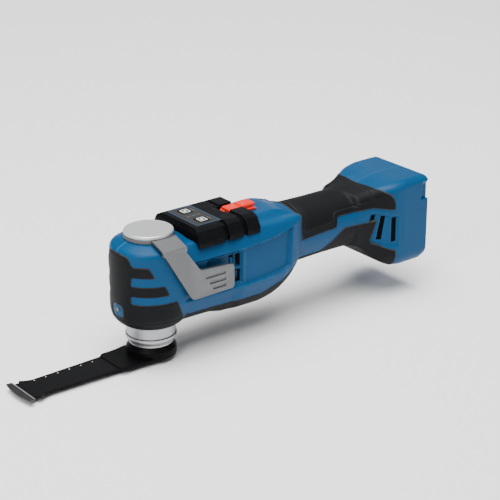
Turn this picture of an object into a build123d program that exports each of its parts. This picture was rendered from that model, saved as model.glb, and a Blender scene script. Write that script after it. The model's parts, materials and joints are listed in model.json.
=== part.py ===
"""Cordless oscillating multi tool with a lever-operated tool holder and a plunge-cut blade.

Frame: the origin is on the spindle axis at the lower rim of the tool holder, +Z runs up the
spindle, +X runs back to the battery dock and -Y is the side that carries the release lever.
"""
import os
from math import asin, cos, sin

from build123d import *

os.makedirs("parts", exist_ok=True)

# Overall sizes, millimetres
head_radius = 28.2            # round head about the spindle axis
head_bottom = 16.0            # underside of the head
head_foot_radius = 20.0       # underside of the head where its lower rounding ends
head_crease = 74.5            # top of the straight head wall
shoulder_top = 78.7           # top of the sloping shoulder
trunk_front_half = 28.2       # half width of the motor trunk beside the lever
trunk_half = 29.6             # half width of the motor trunk at the label panel
trunk_bottom = 12.4           # underside of the motor trunk
trunk_top = 75.0              # deck that carries the saddle
hump_top = 79.0               # raised deck that carries the slide switch
trunk_end = 121.0             # rear end of the motor trunk
motor_axis = 45.0             # height of the motor axis
handle_axis = 52.0            # height of the handle axis
handle_radius = 22.6
dock_end = 238.0              # rear face of the battery dock
dock_half = 31.8
dock_bottom = 10.8
dock_top = 79.5

# Walls and clearances
wall = 3.4                    # housing wall where it carries a rubber skin
skin = 2.0                    # rubber skins let into the housing
seat_gap = 0.1                # between a skin and its recess
part_gap = 0.3                # between bodies that move past each other
running_gap = 0.05            # radial clearance of shafts and bearings

# Spindle, holder and release
spindle_radius = 7.5
spindle_top = 70.5
rod_radius = 3.0
rod_stroke = 4.0
holder_radius = 18.3
holder_height = 6.2
star_radius = 12.2            # drive star between holder and blade cup
star_tip = 1.5                # radius of each point of the star
star_points = 12
star_depth = 2.4
star_gap = 0.15
cup_sheet = 1.2               # sheet thickness of the blade cup
cup_hole = 8.0
jaw_inner = 3.2
jaw_half_width = 3.2
jaw_slope = 0.5               # outward growth of the jaw hook per millimetre of depth
jaw_reach = 4.0               # depth of the hook below the cup sheet
jaw_stroke = 2.2

# Blade
blade_top = -8.4
blade_sheet = 1.0
blade_half = 12.6
blade_shoulder = -33.0
blade_tip = -109.5
blade_tip_half = 16.0
blade_bulge = 2.0             # how far the cutting edge bows out past its corners

# Release lever
lever_standoff = 3.0          # outer face of the lever beyond the round head
lever_face = head_radius + lever_standoff
lever_sheet = 2.6
cap_radius = 17.6
cap_top = 84.3
cap_seat = 81.9
lever_seat = 79.0
pivot_radius = 6.0
pivot_foot = 74.5

# Bearings: height or length, bore radius, outer radius
lower_bearing = (15.5, 23.5, spindle_radius, 13.0)
upper_bearing = (63.0, 69.0, spindle_radius, 11.0)
front_bearing = (27.5, 33.5, 3.0, 9.5)
rear_bearing = (87.5, 93.5, 3.0, 9.5)

# Motor
shaft_radius = 3.0
eccentric_throw = 0.65
eccentric_bearing_radius = 6.5
stator_radius = 21.5
stator_depth = 8.9            # radial depth of the stator's ring and teeth
stator_bore = stator_radius - stator_depth
air_gap = 0.6
stator_front = 50.0
stator_rear = 78.0
rotor_radius = stator_bore - air_gap
fan_radius = 18.5

# Switch, keys and saddle
saddle_top = 84.5
saddle_front = 23.6
saddle_lobes = ((23.6, 46.0), (50.0, 62.0), (66.0, 77.0))
panel_front = 27.5
panel_rear = 49.5
panel_half = 19.0
panel_sheet = 1.2
key_size = 8.0
key_x = 38.5
key_offset = 10.0
key_top = 85.0
key_foot = 81.0
key_gap = 0.3
slider_front = 66.0
slider_rear = 91.0
slider_half = 6.0
slider_stroke = 5.0
stem_front = 73.4
stem_rear = 83.0
stem_half = 2.0
stem_foot = 74.2
module_front = 62.0
module_rear = 92.0
module_half = 7.0
module_foot = motor_axis + stator_radius + 0.6


def part_of(builder, name):
    """Label a finished piece and write it as its own file."""
    builder.part.label = name
    export_step(builder.part, f"parts/{name}.step")


def side_prism(points, near, far):
    """Closed outline in X and Z, drawn out along Y from near to far."""
    with BuildPart() as prism:
        with BuildSketch(Plane.XZ.offset(-far)):
            Polygon(*points, align=None)
        extrude(amount=far - near)
    return prism.part


def block(low, high):
    """Plain block between two opposite corners."""
    corners = [(low[0], low[2]), (high[0], low[2]), (high[0], high[2]), (low[0], high[2])]
    return side_prism(corners, low[1], high[1])


def disc(plane, radius, height):
    """Round disc that stands on the plane."""
    with BuildPart() as solid:
        with BuildSketch(plane):
            Circle(radius)
        extrude(amount=height)
    return solid.part


def ring(plane, outer, inner, height):
    """Flat ring that stands on the plane."""
    with BuildPart() as solid:
        with BuildSketch(plane):
            Circle(outer)
            Circle(inner, mode=Mode.SUBTRACT)
        extrude(amount=height)
    return solid.part


def spindle_plane(height):
    return Plane.XY.offset(height)


def motor_plane(x, lift=0.0):
    return Plane(origin=(x, 0, motor_axis + lift), x_dir=(0, 1, 0), z_dir=(1, 0, 0))


def head_form(inset):
    """Round head: foot rounding, straight wall and sloping shoulder."""
    half = [
        (head_foot_radius, head_bottom),
        (head_radius - 2.2, head_bottom + 4.2),
        (head_radius, head_bottom + 9.0),
        (head_radius, head_crease),
        (holder_radius, shoulder_top),
    ]
    outline = half + [(-x, z) for x, z in reversed(half)]
    with BuildPart() as form:
        with BuildSketch(Plane.XZ):
            Polygon(*outline, align=None)
            if inset:
                offset(amount=-inset, kind=Kind.INTERSECTION)
            with Locations((2 * head_radius, motor_axis)):
                Rectangle(4 * head_radius, 4 * head_radius, mode=Mode.INTERSECT)
        revolve(axis=Axis.Z)
    return form.part


def three_way_form(section, side, plan, inset, start, end):
    """Common volume of a cross-section along X, a side outline and a plan outline."""
    with BuildPart() as form:
        with BuildSketch(Plane.YZ.offset(start)):
            Polygon(*section, align=None)
            if inset:
                offset(amount=-inset, kind=Kind.INTERSECTION)
        extrude(amount=end - start)
        with BuildSketch(Plane.XZ):
            Polygon(*side, align=None)
            if inset:
                offset(amount=-inset, kind=Kind.INTERSECTION)
        extrude(amount=3 * dock_half, both=True, mode=Mode.INTERSECT)
        with BuildSketch(Plane.XY):
            Polygon(*plan, align=None)
            if inset:
                offset(amount=-inset, kind=Kind.INTERSECTION)
        extrude(amount=6 * dock_half, both=True, mode=Mode.INTERSECT)
    return form.part


def mirrored(half):
    """Close a half outline, listed from the middle outwards, over its mirror axis."""
    return half + [(-a, b) for a, b in reversed(half)]


def trunk_form(inset):
    """Motor trunk with its switch hump, from the spindle axis back to the handle."""
    section = mirrored([
        (12.0, hump_top),
        (17.5, trunk_top + 1.5),
        (trunk_half - 5.2, trunk_top),
        (trunk_half, head_crease - 10.5),
        (trunk_half, 34.5),
        (trunk_half - 4.6, trunk_bottom + 8.0),
        (trunk_half - 12.6, trunk_bottom),
    ])
    side = [
        (-8.0, head_bottom),
        (40.0, trunk_bottom + 2.4),
        (50.0, trunk_bottom),
        (84.0, trunk_bottom),
        (100.0, trunk_bottom + 5.0),
        (112.0, trunk_bottom + 12.0),
        (trunk_end, handle_axis - handle_radius + 2.0),
        (trunk_end, handle_axis + handle_radius - 1.0),
        (112.0, trunk_top + 1.0),
        (101.0, hump_top),
        (63.0, hump_top),
        (58.0, trunk_top),
        (-8.0, trunk_top),
    ]
    plan_half = [
        (-8.0, 20.0),
        (0.0, trunk_front_half),
        (54.0, trunk_front_half),
        (60.0, trunk_half),
        (103.0, trunk_half),
        (114.0, trunk_half - 3.4),
        (trunk_end, handle_radius - 0.6),
    ]
    plan = plan_half + [(x, -y) for x, y in reversed(plan_half)]
    return three_way_form(section, side, plan, inset, -12.0, trunk_end + 2.0)


def handle_form(inset):
    """Round handle between the trunk and the dock."""
    plane = Plane(origin=(108, 0, handle_axis), x_dir=(0, 1, 0), z_dir=(1, 0, 0))
    return disc(plane, handle_radius - inset, 100)


def dock_form(inset):
    """Battery dock: a rounded box that flares out of the handle."""
    section = mirrored([
        (22.0, dock_top),
        (dock_half - 3.0, dock_top - 3.2),
        (dock_half, dock_top - 9.0),
        (dock_half, dock_bottom + 12.0),
        (dock_half - 3.5, dock_bottom + 4.0),
        (20.0, dock_bottom),
    ])
    side = [
        (178.0, handle_axis - handle_radius + 2.0),
        (188.0, 25.5),
        (196.5, 17.6),
        (205.0, 12.2),
        (213.0, dock_bottom),
        (dock_end - 4.0, dock_bottom),
        (dock_end, 24.0),
        (dock_end, dock_top),
        (205.0, 77.4),
        (190.0, handle_axis + handle_radius + 0.2),
        (178.0, handle_axis + handle_radius - 2.0),
    ]
    plan_half = [
        (178.0, handle_radius - 2.0),
        (187.0, handle_radius + 0.3),
        (194.0, 24.6),
        (200.0, 28.0),
        (205.0, 30.6),
        (211.0, dock_half),
        (dock_end, dock_half),
    ]
    plan = plan_half + [(x, -y) for x, y in reversed(plan_half)]
    return three_way_form(section, side, plan, inset, 176.0, dock_end + 2.0)


def housing_form(inset):
    """Whole outer shape, drawn in by the inset on every side."""
    with BuildPart() as form:
        add(head_form(inset))
        add(trunk_form(inset))
        add(handle_form(inset))
        add(dock_form(inset))
    return form.part


outer_form = housing_form(0)
skin_form = housing_form(skin)
recess_form = housing_form(skin + seat_gap)
cavity_form = housing_form(wall)

# Outlines of the rubber skins, seen from the side
boot_outline = [
    (-40, 73.8), (-27.0, 73.8), (-25.3, 72.4), (-23.9, 65.9), (-15.8, 65.9), (-11.9, 57.5),
    (-24.0, 57.5), (-24.4, 51.3), (-5.7, 51.3), (-2.1, 43.5), (-24.4, 43.5), (-24.4, 38.0),
    (3.9, 38.0), (8.7, 27.3), (13.0, 20.5), (13.0, 0), (-40, 0),
]
grip_outline = [
    (118.5, 52.5), (154.0, 54.2), (156.5, 61.4), (189.0, 61.7), (205.5, 58.5), (205.5, 64.0),
    (203.8, 69.5), (200.4, 73.0), (195.5, 75.4), (190.5, 76.4), (190.5, 95), (118.5, 95),
]
lower_grip_outline = [
    (117.0, 37.0), (143.0, 37.0), (147.0, 41.2), (160.8, 52.5), (191.8, 51.9), (186.7, 34.8),
    (207.0, 25.6), (207.0, 0), (117.0, 0),
]
belly_outline = [
    (13.5, 0), (13.5, 20.0), (18.0, 17.0), (80.0, 17.0), (96.0, 25.0), (108.0, 34.0),
    (116.5, 37.0), (116.5, 0),
]
light_window = ((-40, -5.0, 26.5), (-15, 5.0, 34.0))


# Housing screws, driven from the +Y side, and the neck below the head
screw_places = ((42.0, 69.5), (42.0, 20.2), (102.0, 64.0), (102.0, 29.0), (140.0, 41.0),
                (176.0, 41.0), (218.0, 21.0), (218.0, 69.0))
screw_radius = 1.5
screw_head_radius = 2.7
screw_head_height = 2.0
screw_seat = 12.0             # Y of the shoulder under each screw head
screw_tip = -12.0
boss_radius = 3.6
neck_radius = 17.6


def boss_plane(x, z, y):
    return Plane(origin=(x, y, z), x_dir=(1, 0, 0), z_dir=(0, 1, 0))


def screw_wells():
    """Access holes for the screwdriver, from each screw head out."""
    with BuildPart() as wells:
        for x, z in screw_places:
            add(disc(boss_plane(x, z, screw_seat), screw_head_radius + part_gap, 60))
    return wells.part


wells = screw_wells()
neck_hole = disc(spindle_plane(0), neck_radius + seat_gap, 30)


def skin_piece(name, outline, window=None):
    """Rubber skin: the outer layer of the housing inside one side outline."""
    with BuildPart() as piece:
        add(outer_form)
        add(side_prism(outline, -60, 60), mode=Mode.INTERSECT)
        add(skin_form, mode=Mode.SUBTRACT)
        add(neck_hole, mode=Mode.SUBTRACT)
        add(wells, mode=Mode.SUBTRACT)
        if window:
            add(block(*window), mode=Mode.SUBTRACT)
    part_of(piece, name)


def skin_recess(outline, window=None):
    """The pocket that such a skin lies in, larger all round by the seat gap."""
    with BuildPart() as pocket:
        with BuildSketch(Plane.XZ):
            Polygon(*outline, align=None)
            offset(amount=seat_gap, kind=Kind.INTERSECTION)
        extrude(amount=60, both=True)
        add(recess_form, mode=Mode.SUBTRACT)
        if window:
            low, high = window
            add(block((low[0], low[1] + seat_gap, low[2] + seat_gap),
                      (high[0], high[1] - seat_gap, high[2] - seat_gap)), mode=Mode.SUBTRACT)
    return pocket.part


skin_piece("head_boot", boot_outline, light_window)
skin_piece("belly_guard", belly_outline)
skin_piece("handle_grip", grip_outline)
skin_piece("lower_grip", lower_grip_outline)

# Clamshell housing
cradle_places = (stator_front + 2.0, stator_rear - 4.0)
cradle_thickness = 2.0
vent_front = 51.5
vent_middle = 47.9
vent_pitch = 5.0
vent_width = 4.0
vent_rear = 60.8
vent_low = 37.0
vent_high = 58.7
vent_bar = 1.8
label_depth = 0.8
label_outline = [(63.7, 36.0), (97.0, 37.2), (104.0, 40.0), (105.5, 64.0), (100.0, 65.6), (63.7, 59.5)]
slot_half = stem_half + part_gap + 0.3
dock_slots = (((183.0, 39.0), (188.0, 56.0)), ((193.0, 35.6), (195.2, 54.4)), ((204.2, 33.0), (204.2, 52.4)))
dock_slot_width = 3.6
dock_mouth_front = 224.0


def motor_rib(x):
    """Wall across the cavity, cut out to hold the stator."""
    with BuildPart() as rib:
        add(cavity_form)
        add(block((x, -60, 0), (x + cradle_thickness, 60, 120)), mode=Mode.INTERSECT)
        add(disc(motor_plane(x - 1), stator_radius + seat_gap, cradle_thickness + 2),
            mode=Mode.SUBTRACT)
    return rib.part


def screw_boss(x, z):
    """Boss across the cavity for one housing screw."""
    with BuildPart() as boss:
        add(disc(boss_plane(x, z, -dock_half), boss_radius, 2 * dock_half))
        add(outer_form, mode=Mode.INTERSECT)
    return boss.part


neck_foot = holder_height + 0.5
neck_shoulder = 21.0          # where the neck widens inside the head
neck_flange = 19.6
gearbox_radius = head_radius - wall - part_gap
gearbox_foot = 24.0
gearbox_top = 70.8
gearbox_bore = 21.4
gearbox_deck = 62.0
nose_radius = motor_axis - gearbox_foot - 0.2
nose_end = 34.0
nose_wall = 27.0

with BuildPart() as shell:
    add(outer_form)
    add(cavity_form, mode=Mode.SUBTRACT)
    for place in cradle_places:
        add(motor_rib(place))
    for place in screw_places:
        add(screw_boss(*place))
    for x, z in screw_places:
        add(disc(boss_plane(x, z, screw_tip - 1), screw_radius + seat_gap, 60), mode=Mode.SUBTRACT)
    add(wells, mode=Mode.SUBTRACT)
    # room for the gearbox and its nose, which pass through the wall's inner corners
    add(disc(spindle_plane(gearbox_foot - 1), gearbox_radius + seat_gap, gearbox_top - gearbox_foot + 2),
        mode=Mode.SUBTRACT)
    add(disc(motor_plane(0), nose_radius + seat_gap, nose_end + 1), mode=Mode.SUBTRACT)
    # rubber recesses
    add(skin_recess(boot_outline, light_window), mode=Mode.SUBTRACT)
    add(skin_recess(belly_outline), mode=Mode.SUBTRACT)
    add(skin_recess(grip_outline), mode=Mode.SUBTRACT)
    add(skin_recess(lower_grip_outline), mode=Mode.SUBTRACT)
    # neck, lever pivot, work light and switch openings
    add(block((-40, -2.8, 29.2), (-20, 0.8, 32.8)), mode=Mode.SUBTRACT)
    add(neck_hole, mode=Mode.SUBTRACT)
    add(disc(spindle_plane(60), pivot_radius + seat_gap, 30), mode=Mode.SUBTRACT)
    add(block((stem_front - slider_stroke - part_gap, -slot_half, 70),
              (stem_rear + part_gap, slot_half, 90)), mode=Mode.SUBTRACT)
    add(block((module_front - seat_gap, -module_half - seat_gap, module_foot - seat_gap),
              (module_rear + seat_gap, module_half + seat_gap, stem_foot)), mode=Mode.SUBTRACT)
    # battery mouth
    add(block((dock_mouth_front, -dock_half + wall, dock_bottom + wall),
              (dock_end + 5, dock_half - wall, dock_top - wall - 3.0)), mode=Mode.SUBTRACT)
    for side in (-1, 1):
        near, far = sorted((side * (trunk_half - label_depth), side * 60))
        add(side_prism(label_outline, near, far), mode=Mode.SUBTRACT)
        near, far = sorted((side * 18, side * 60))
        for low, high in ((vent_low, vent_middle - vent_bar), (vent_middle, vent_high)):
            for front in (vent_front, vent_front + vent_pitch):
                add(block((front, near, low), (front + vent_width, far, high)), mode=Mode.SUBTRACT)
        for (x0, z0), (x1, z1) in dock_slots:
            slot = [(x0, z0), (x0 + dock_slot_width, z0), (x1 + dock_slot_width, z1), (x1, z1)]
            add(side_prism(slot, near, far), mode=Mode.SUBTRACT)

for name, side in (("housing_left", -1), ("housing_right", 1)):
    near, far = sorted((0, side * 60))
    with BuildPart() as half:
        add(shell.part)
        add(block((-60, near, -20), (260, far, 120)), mode=Mode.INTERSECT)
    part_of(half, name)

with BuildPart() as housing_screws:
    for x, z in screw_places:
        add(disc(boss_plane(x, z, screw_tip), screw_radius, screw_seat - screw_tip))
        add(disc(boss_plane(x, z, screw_seat), screw_head_radius, screw_head_height))
        with BuildSketch(boss_plane(x, z, screw_seat + screw_head_height)):
            RegularPolygon(1.4, 6)
        extrude(amount=-1.2, mode=Mode.SUBTRACT)
part_of(housing_screws, "housing_screws")

# Head: neck collar, gearbox housing and seal
lower_start, lower_end, lower_inner, lower_outer = lower_bearing
upper_start, upper_end, upper_inner, upper_outer = upper_bearing
front_start, front_end, front_inner, front_outer = front_bearing
rear_start, rear_end, rear_inner, rear_outer = rear_bearing
holder_boss_wall = 1.5
holder_boss_radius = spindle_radius + holder_boss_wall
holder_boss_top = 14.5
seal_width = 2.5
seal_outer = holder_boss_radius + seal_width

with BuildPart() as neck_collar:
    add(disc(spindle_plane(neck_foot), neck_radius, gearbox_foot - neck_foot))
    chamfer(neck_collar.edges().sort_by(Axis.Z)[0], length=0.8)
    add(disc(spindle_plane(neck_shoulder), neck_flange, gearbox_foot - neck_shoulder))
    add(disc(spindle_plane(neck_foot), seal_outer, lower_start - neck_foot), mode=Mode.SUBTRACT)
    add(disc(spindle_plane(lower_start), lower_outer + running_gap, gearbox_foot - lower_start),
        mode=Mode.SUBTRACT)
part_of(neck_collar, "neck_collar")

with BuildPart() as neck_seal:
    add(ring(spindle_plane(neck_foot + 2), seal_outer - running_gap,
             holder_boss_radius + running_gap, 3.5))
part_of(neck_seal, "neck_seal")

with BuildPart() as gearbox_housing:
    add(disc(spindle_plane(gearbox_foot), gearbox_radius, gearbox_top - gearbox_foot))
    add(disc(motor_plane(0), nose_radius, nose_end))
    add(disc(spindle_plane(gearbox_foot + 2), gearbox_bore, gearbox_deck - gearbox_foot - 2),
        mode=Mode.SUBTRACT)
    add(disc(motor_plane(0), nose_radius - 2.8, nose_wall), mode=Mode.SUBTRACT)
    add(disc(spindle_plane(gearbox_foot), spindle_radius + 2, 10), mode=Mode.SUBTRACT)
    add(disc(spindle_plane(gearbox_deck), upper_outer + running_gap, 20), mode=Mode.SUBTRACT)
    add(disc(motor_plane(nose_wall - 1), front_outer + running_gap, 10), mode=Mode.SUBTRACT)
part_of(gearbox_housing, "gearbox_housing")


def bearing_rings(plane, bore, outer, width):
    """Inner ring, outer ring with its balls, as two pieces."""
    span = outer - bore
    inner_rim = bore + 0.3 * span
    outer_rim = bore + 0.7 * span
    ball = (outer_rim - inner_rim) / 2 - 0.06
    pitch = (outer_rim + inner_rim) / 2
    count = int(3.14 * pitch / (ball * 1.35))
    inner = ring(plane, inner_rim, bore + running_gap, width)
    middle = plane.offset(width / 2)
    with BuildPart() as cage:
        add(ring(plane, outer, outer_rim, width))
        with Locations(middle):
            with PolarLocations(pitch, count):
                Sphere(ball)
    return inner, cage.part


def write_bearing(name, plane, bore, outer, width):
    inner, cage = bearing_rings(plane, bore, outer, width)
    with BuildPart() as inner_ring:
        add(inner)
    part_of(inner_ring, f"{name}_inner")
    with BuildPart() as outer_ring:
        add(cage)
    part_of(outer_ring, f"{name}_outer")


write_bearing("lower_bearing", spindle_plane(lower_start), lower_inner, lower_outer,
              lower_end - lower_start)
write_bearing("upper_bearing", spindle_plane(upper_start), upper_inner, upper_outer,
              upper_end - upper_start)
write_bearing("front_motor_bearing", motor_plane(front_start), front_inner, front_outer,
              front_end - front_start)
write_bearing("rear_motor_bearing", motor_plane(rear_start), rear_inner, rear_outer,
              rear_end - rear_start)

# Spindle with its bore for the release rod and a counterbore for the spring
spring_seat = 58.0
spring_room = 5.3
rod_collar_foot = 72.4
rod_collar_radius = 4.9
rod_foot = holder_height + rod_stroke + 0.3
spindle_foot = 8.0
with BuildPart() as spindle:
    add(disc(spindle_plane(spindle_foot), spindle_radius, spindle_top - spindle_foot))
    add(disc(spindle_plane(spindle_foot), rod_radius + running_gap, 80), mode=Mode.SUBTRACT)
    add(disc(spindle_plane(spring_seat), spring_room, 30), mode=Mode.SUBTRACT)
part_of(spindle, "spindle")


def star_prism(height, top, grow):
    """Twelve-pointed drive star below a given height."""
    with BuildPart() as star:
        with BuildSketch(spindle_plane(top - height)):
            Circle(star_radius + grow)
            with PolarLocations(star_radius, star_points):
                Circle(star_tip + grow)
        extrude(amount=height)
    return star.part


holder_outline = [(0, 0), (16.1, 0), (16.1, 1.2), (holder_radius, 4.6), (holder_radius, holder_height),
                  (0, holder_height)]
jaw_room = jaw_half_width + 0.15
with BuildPart() as tool_holder:
    with BuildSketch(Plane.XZ):
        Polygon(*holder_outline, align=None)
    revolve(axis=Axis.Z)
    add(disc(spindle_plane(holder_height), holder_boss_radius, holder_boss_top - holder_height))
    add(disc(spindle_plane(spindle_foot), spindle_radius + running_gap, 20), mode=Mode.SUBTRACT)
    add(disc(spindle_plane(0), rod_radius + running_gap, 20), mode=Mode.SUBTRACT)
    add(star_prism(star_depth + 1, star_depth, star_gap), mode=Mode.SUBTRACT)
    add(block((-9.9, -jaw_room, star_depth - 1), (9.9, jaw_room, holder_height)), mode=Mode.SUBTRACT)
part_of(tool_holder, "tool_holder")

# Swing fork: a hub clamped on the spindle with two prongs beside the eccentric bearing
fork_half_gap = eccentric_bearing_radius + eccentric_throw + 0.6 + part_gap
fork_prong = 3.8
fork_front = 6.0
fork_rear = 24.3
fork_height = 12.0
with BuildPart() as swing_fork:
    add(disc(spindle_plane(motor_axis - fork_height / 2), spindle_radius + 4, fork_height))
    for side in (-1, 1):
        near, far = sorted((side * fork_half_gap, side * (fork_half_gap + fork_prong)))
        add(block((fork_front, near, motor_axis - fork_height / 2),
                  (fork_rear, far, motor_axis + fork_height / 2)))
    add(disc(spindle_plane(20), spindle_radius + running_gap, 50), mode=Mode.SUBTRACT)
part_of(swing_fork, "swing_fork")

# Release rod, its spring and the two clamp jaws
with BuildPart() as release_rod:
    add(disc(spindle_plane(rod_foot), rod_radius, pivot_foot - part_gap - rod_foot))
    add(disc(spindle_plane(rod_collar_foot), rod_collar_radius, 1.2))
    chamfer(release_rod.edges().sort_by(Axis.Z)[0], length=0.6)
part_of(release_rod, "release_rod")

spring_wire = 0.55
spring_radius = rod_radius + running_gap + 0.15 + spring_wire
spring_foot = spring_seat + spring_wire + 0.1
spring_head = rod_collar_foot - spring_wire - 0.1
with BuildPart() as release_spring:
    with BuildLine() as coil:
        Helix(pitch=(spring_head - spring_foot) / 6, height=spring_head - spring_foot,
              radius=spring_radius, center=(0, 0, spring_foot))
    with BuildSketch(Plane(coil.line @ 0, z_dir=coil.line % 0)):
        Circle(spring_wire)
    sweep()
part_of(release_spring, "release_spring")

hook_top = star_depth - cup_sheet
hook_foot = hook_top - jaw_reach
jaw_radius = cup_hole - 0.2
jaw_outline = [
    (0, hook_foot), (jaw_radius + jaw_slope * jaw_reach, hook_foot), (jaw_radius, hook_top),
    (jaw_radius, star_depth + 0.2), (9.3, star_depth + 0.6), (9.3, holder_height - 0.15),
    (0, holder_height - 0.15),
]
for name, side in (("clamp_jaw_front", -1), ("clamp_jaw_rear", 1)):
    near, far = sorted((side * jaw_inner, side * 12))
    with BuildPart() as jaw:
        with BuildSketch(Plane.XZ):
            Polygon(*jaw_outline, align=None)
        revolve(axis=Axis.Z)
        add(block((near, -jaw_half_width, hook_foot - 1), (far, jaw_half_width, holder_height + 1)),
            mode=Mode.INTERSECT)
    part_of(jaw, name)

# Saw blade: cup, plate and toothed edge
cup_radius = 18.0
cup_shoulder = 14.6
cup_lid = -part_gap
cup_outline = [
    (cup_hole, cup_lid - cup_sheet), (cup_shoulder - cup_sheet, cup_lid - cup_sheet),
    (cup_radius - cup_sheet, cup_lid - 4.2), (cup_radius - cup_sheet, blade_top),
    (cup_radius, blade_top), (cup_radius, cup_lid - 3.6), (cup_shoulder + 0.8, cup_lid),
    (cup_hole, cup_lid),
]
with BuildPart() as blade_cup:
    with BuildSketch(Plane.XZ):
        Polygon(*cup_outline, align=None)
    revolve(axis=Axis.Z)
    add(star_prism(star_depth - cup_lid + cup_sheet, star_depth, 0))
    add(star_prism(star_depth - cup_lid + cup_sheet, hook_top, -cup_sheet), mode=Mode.SUBTRACT)
    add(disc(spindle_plane(-10), cup_hole, 20), mode=Mode.SUBTRACT)
part_of(blade_cup, "blade_cup")

plate_half = [
    (12.0, 12.4), (4.0, 15.4), (blade_shoulder, 15.2), (blade_shoulder - 3.0, blade_half),
    (-92.0, blade_half - 1.4), (-96.5, blade_half), (-100.4, 15.0), (-101.8, blade_half - 0.4),
    (-105.0, blade_half - 0.4), (-105.4, blade_tip_half - 0.4),
]
weld_line = -105.4
with BuildPart() as blade_plate:
    with BuildSketch(spindle_plane(blade_top - blade_sheet)):
        Polygon(*(plate_half + [(x, -y) for x, y in reversed(plate_half)]), align=None)
        Circle(cup_radius)
        Circle(cup_radius - cup_sheet - 2.0, mode=Mode.SUBTRACT)
    extrude(amount=blade_sheet)
part_of(blade_plate, "blade_plate")

edge_radius = (blade_tip_half ** 2 + blade_bulge ** 2) / (2 * blade_bulge)
edge_middle = blade_tip - blade_bulge + edge_radius
edge_half_angle = asin(blade_tip_half / edge_radius)
tooth_count = 20
tooth_depth = 1.4
with BuildPart() as blade_teeth:
    with BuildSketch(spindle_plane(blade_top - blade_sheet)):
        with BuildLine():
            Polyline((blade_tip, blade_tip_half), (weld_line, blade_tip_half - 0.4),
                     (weld_line, -blade_tip_half + 0.4), (blade_tip, -blade_tip_half))
            ThreePointArc((blade_tip, -blade_tip_half), (blade_tip - blade_bulge, 0),
                          (blade_tip, blade_tip_half))
        make_face()
        for step in range(tooth_count):
            turn = ((step + 0.5) / tooth_count * 2 - 1) * edge_half_angle
            x = edge_middle - edge_radius * cos(turn)
            y = edge_radius * sin(turn)
            Polygon((x - 0.5, y - 0.6), (x + tooth_depth, y), (x - 0.5, y + 0.6), align=None,
                    mode=Mode.SUBTRACT)
    extrude(amount=blade_sheet)
part_of(blade_teeth, "blade_teeth")

# Release lever: strap and tail down the near side, facet and hub over the head, and its cap
lever_inner = lever_face - lever_sheet
strap_outline = [
    (-9.8, 77.5), (13.2, 38.7), (15.2, 36.8), (18.0, 36.3), (49.4, 36.7), (51.2, 38.5),
    (51.2, 52.6), (49.8, 55.2), (46.4, 55.8), (23.4, 57.2), (21.0, 58.4), (7.1, 77.5),
]
facet_drop = 0.346            # fall of the facet per millimetre outwards
facet_inner = 15.0
facet_top = 83.0
facet_outline = [
    (-facet_inner, facet_top - 1.1), (-18.2, 81.9), (-lever_face, 77.5), (-lever_face, 74.0),
    (-lever_inner, 74.0), (-lever_inner, 76.0), (-20.0, 79.0), (-facet_inner, 79.0),
]
facet_front = -9.0
facet_rear = 10.6
grip_slots = ((26.2, 43.4, 50.4), (29.6, 43.8, 45.6), (32.4, 43.8, 41.0))
slot_height = 1.9
slot_depth = 0.9
with BuildPart() as release_lever:
    add(side_prism(strap_outline, -lever_face, -lever_inner))
    with BuildSketch(Plane.YZ.offset(facet_front)):
        Polygon(*facet_outline, align=None)
    extrude(amount=facet_rear - facet_front)
    add(disc(spindle_plane(lever_seat), holder_radius - 0.5, cap_seat - lever_seat))
    for front, rear, height in grip_slots:
        add(block((front, -lever_face - 1, height - slot_height / 2),
                  (rear, -lever_face + slot_depth, height + slot_height / 2)), mode=Mode.SUBTRACT)
    add(disc(spindle_plane(cap_seat), 3 * cap_radius, 20), mode=Mode.SUBTRACT)
    add(disc(spindle_plane(pivot_foot), pivot_radius, lever_seat - pivot_foot))
part_of(release_lever, "release_lever")

with BuildPart() as lever_cap:
    add(disc(spindle_plane(cap_seat), cap_radius, cap_top - cap_seat))
    chamfer(lever_cap.edges().sort_by(Axis.Z)[-1], length=0.7)
part_of(lever_cap, "lever_cap")

# Motor: shaft with its eccentric, rotor, stator, windings, fan and end cap
shaft_front = 24.5
shaft_rear = rear_end + 0.5
crank_front = 16.0
counterweight_radius = 8.5
with BuildPart() as motor_shaft:
    add(disc(motor_plane(shaft_front), shaft_radius, shaft_rear - shaft_front))
    add(disc(motor_plane(crank_front, eccentric_throw), shaft_radius, shaft_front - crank_front))
part_of(motor_shaft, "motor_shaft")

with BuildPart() as counterweight:
    add(ring(motor_plane(shaft_front + 0.3), counterweight_radius, shaft_radius + running_gap, 2.0))
    add(block((20, -60, motor_axis + 2.2), (30, 60, 100)), mode=Mode.SUBTRACT)
part_of(counterweight, "counterweight")

with BuildPart() as eccentric_bearing:
    add(ring(motor_plane(crank_front + 1, eccentric_throw), eccentric_bearing_radius,
             shaft_radius + running_gap, 6.5))
part_of(eccentric_bearing, "eccentric_bearing")

with BuildPart() as rotor:
    add(ring(motor_plane(stator_front - 1), rotor_radius, shaft_radius + 0.01,
             stator_rear - stator_front + 2))
part_of(rotor, "rotor")

slot_count = 6
tooth_width = 5.0
yoke = 3.2
with BuildPart() as stator:
    with BuildSketch(motor_plane(stator_front)):
        Circle(stator_radius)
        Circle(stator_radius - yoke, mode=Mode.SUBTRACT)
        with PolarLocations(0, slot_count):
            with Locations((stator_bore + 0.6, 0)):
                Rectangle(stator_radius - yoke / 2 - stator_bore - 0.6, tooth_width,
                          align=(Align.MIN, Align.CENTER))
        Circle(stator_bore, mode=Mode.SUBTRACT)
    extrude(amount=stator_rear - stator_front)
part_of(stator, "stator")

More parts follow.
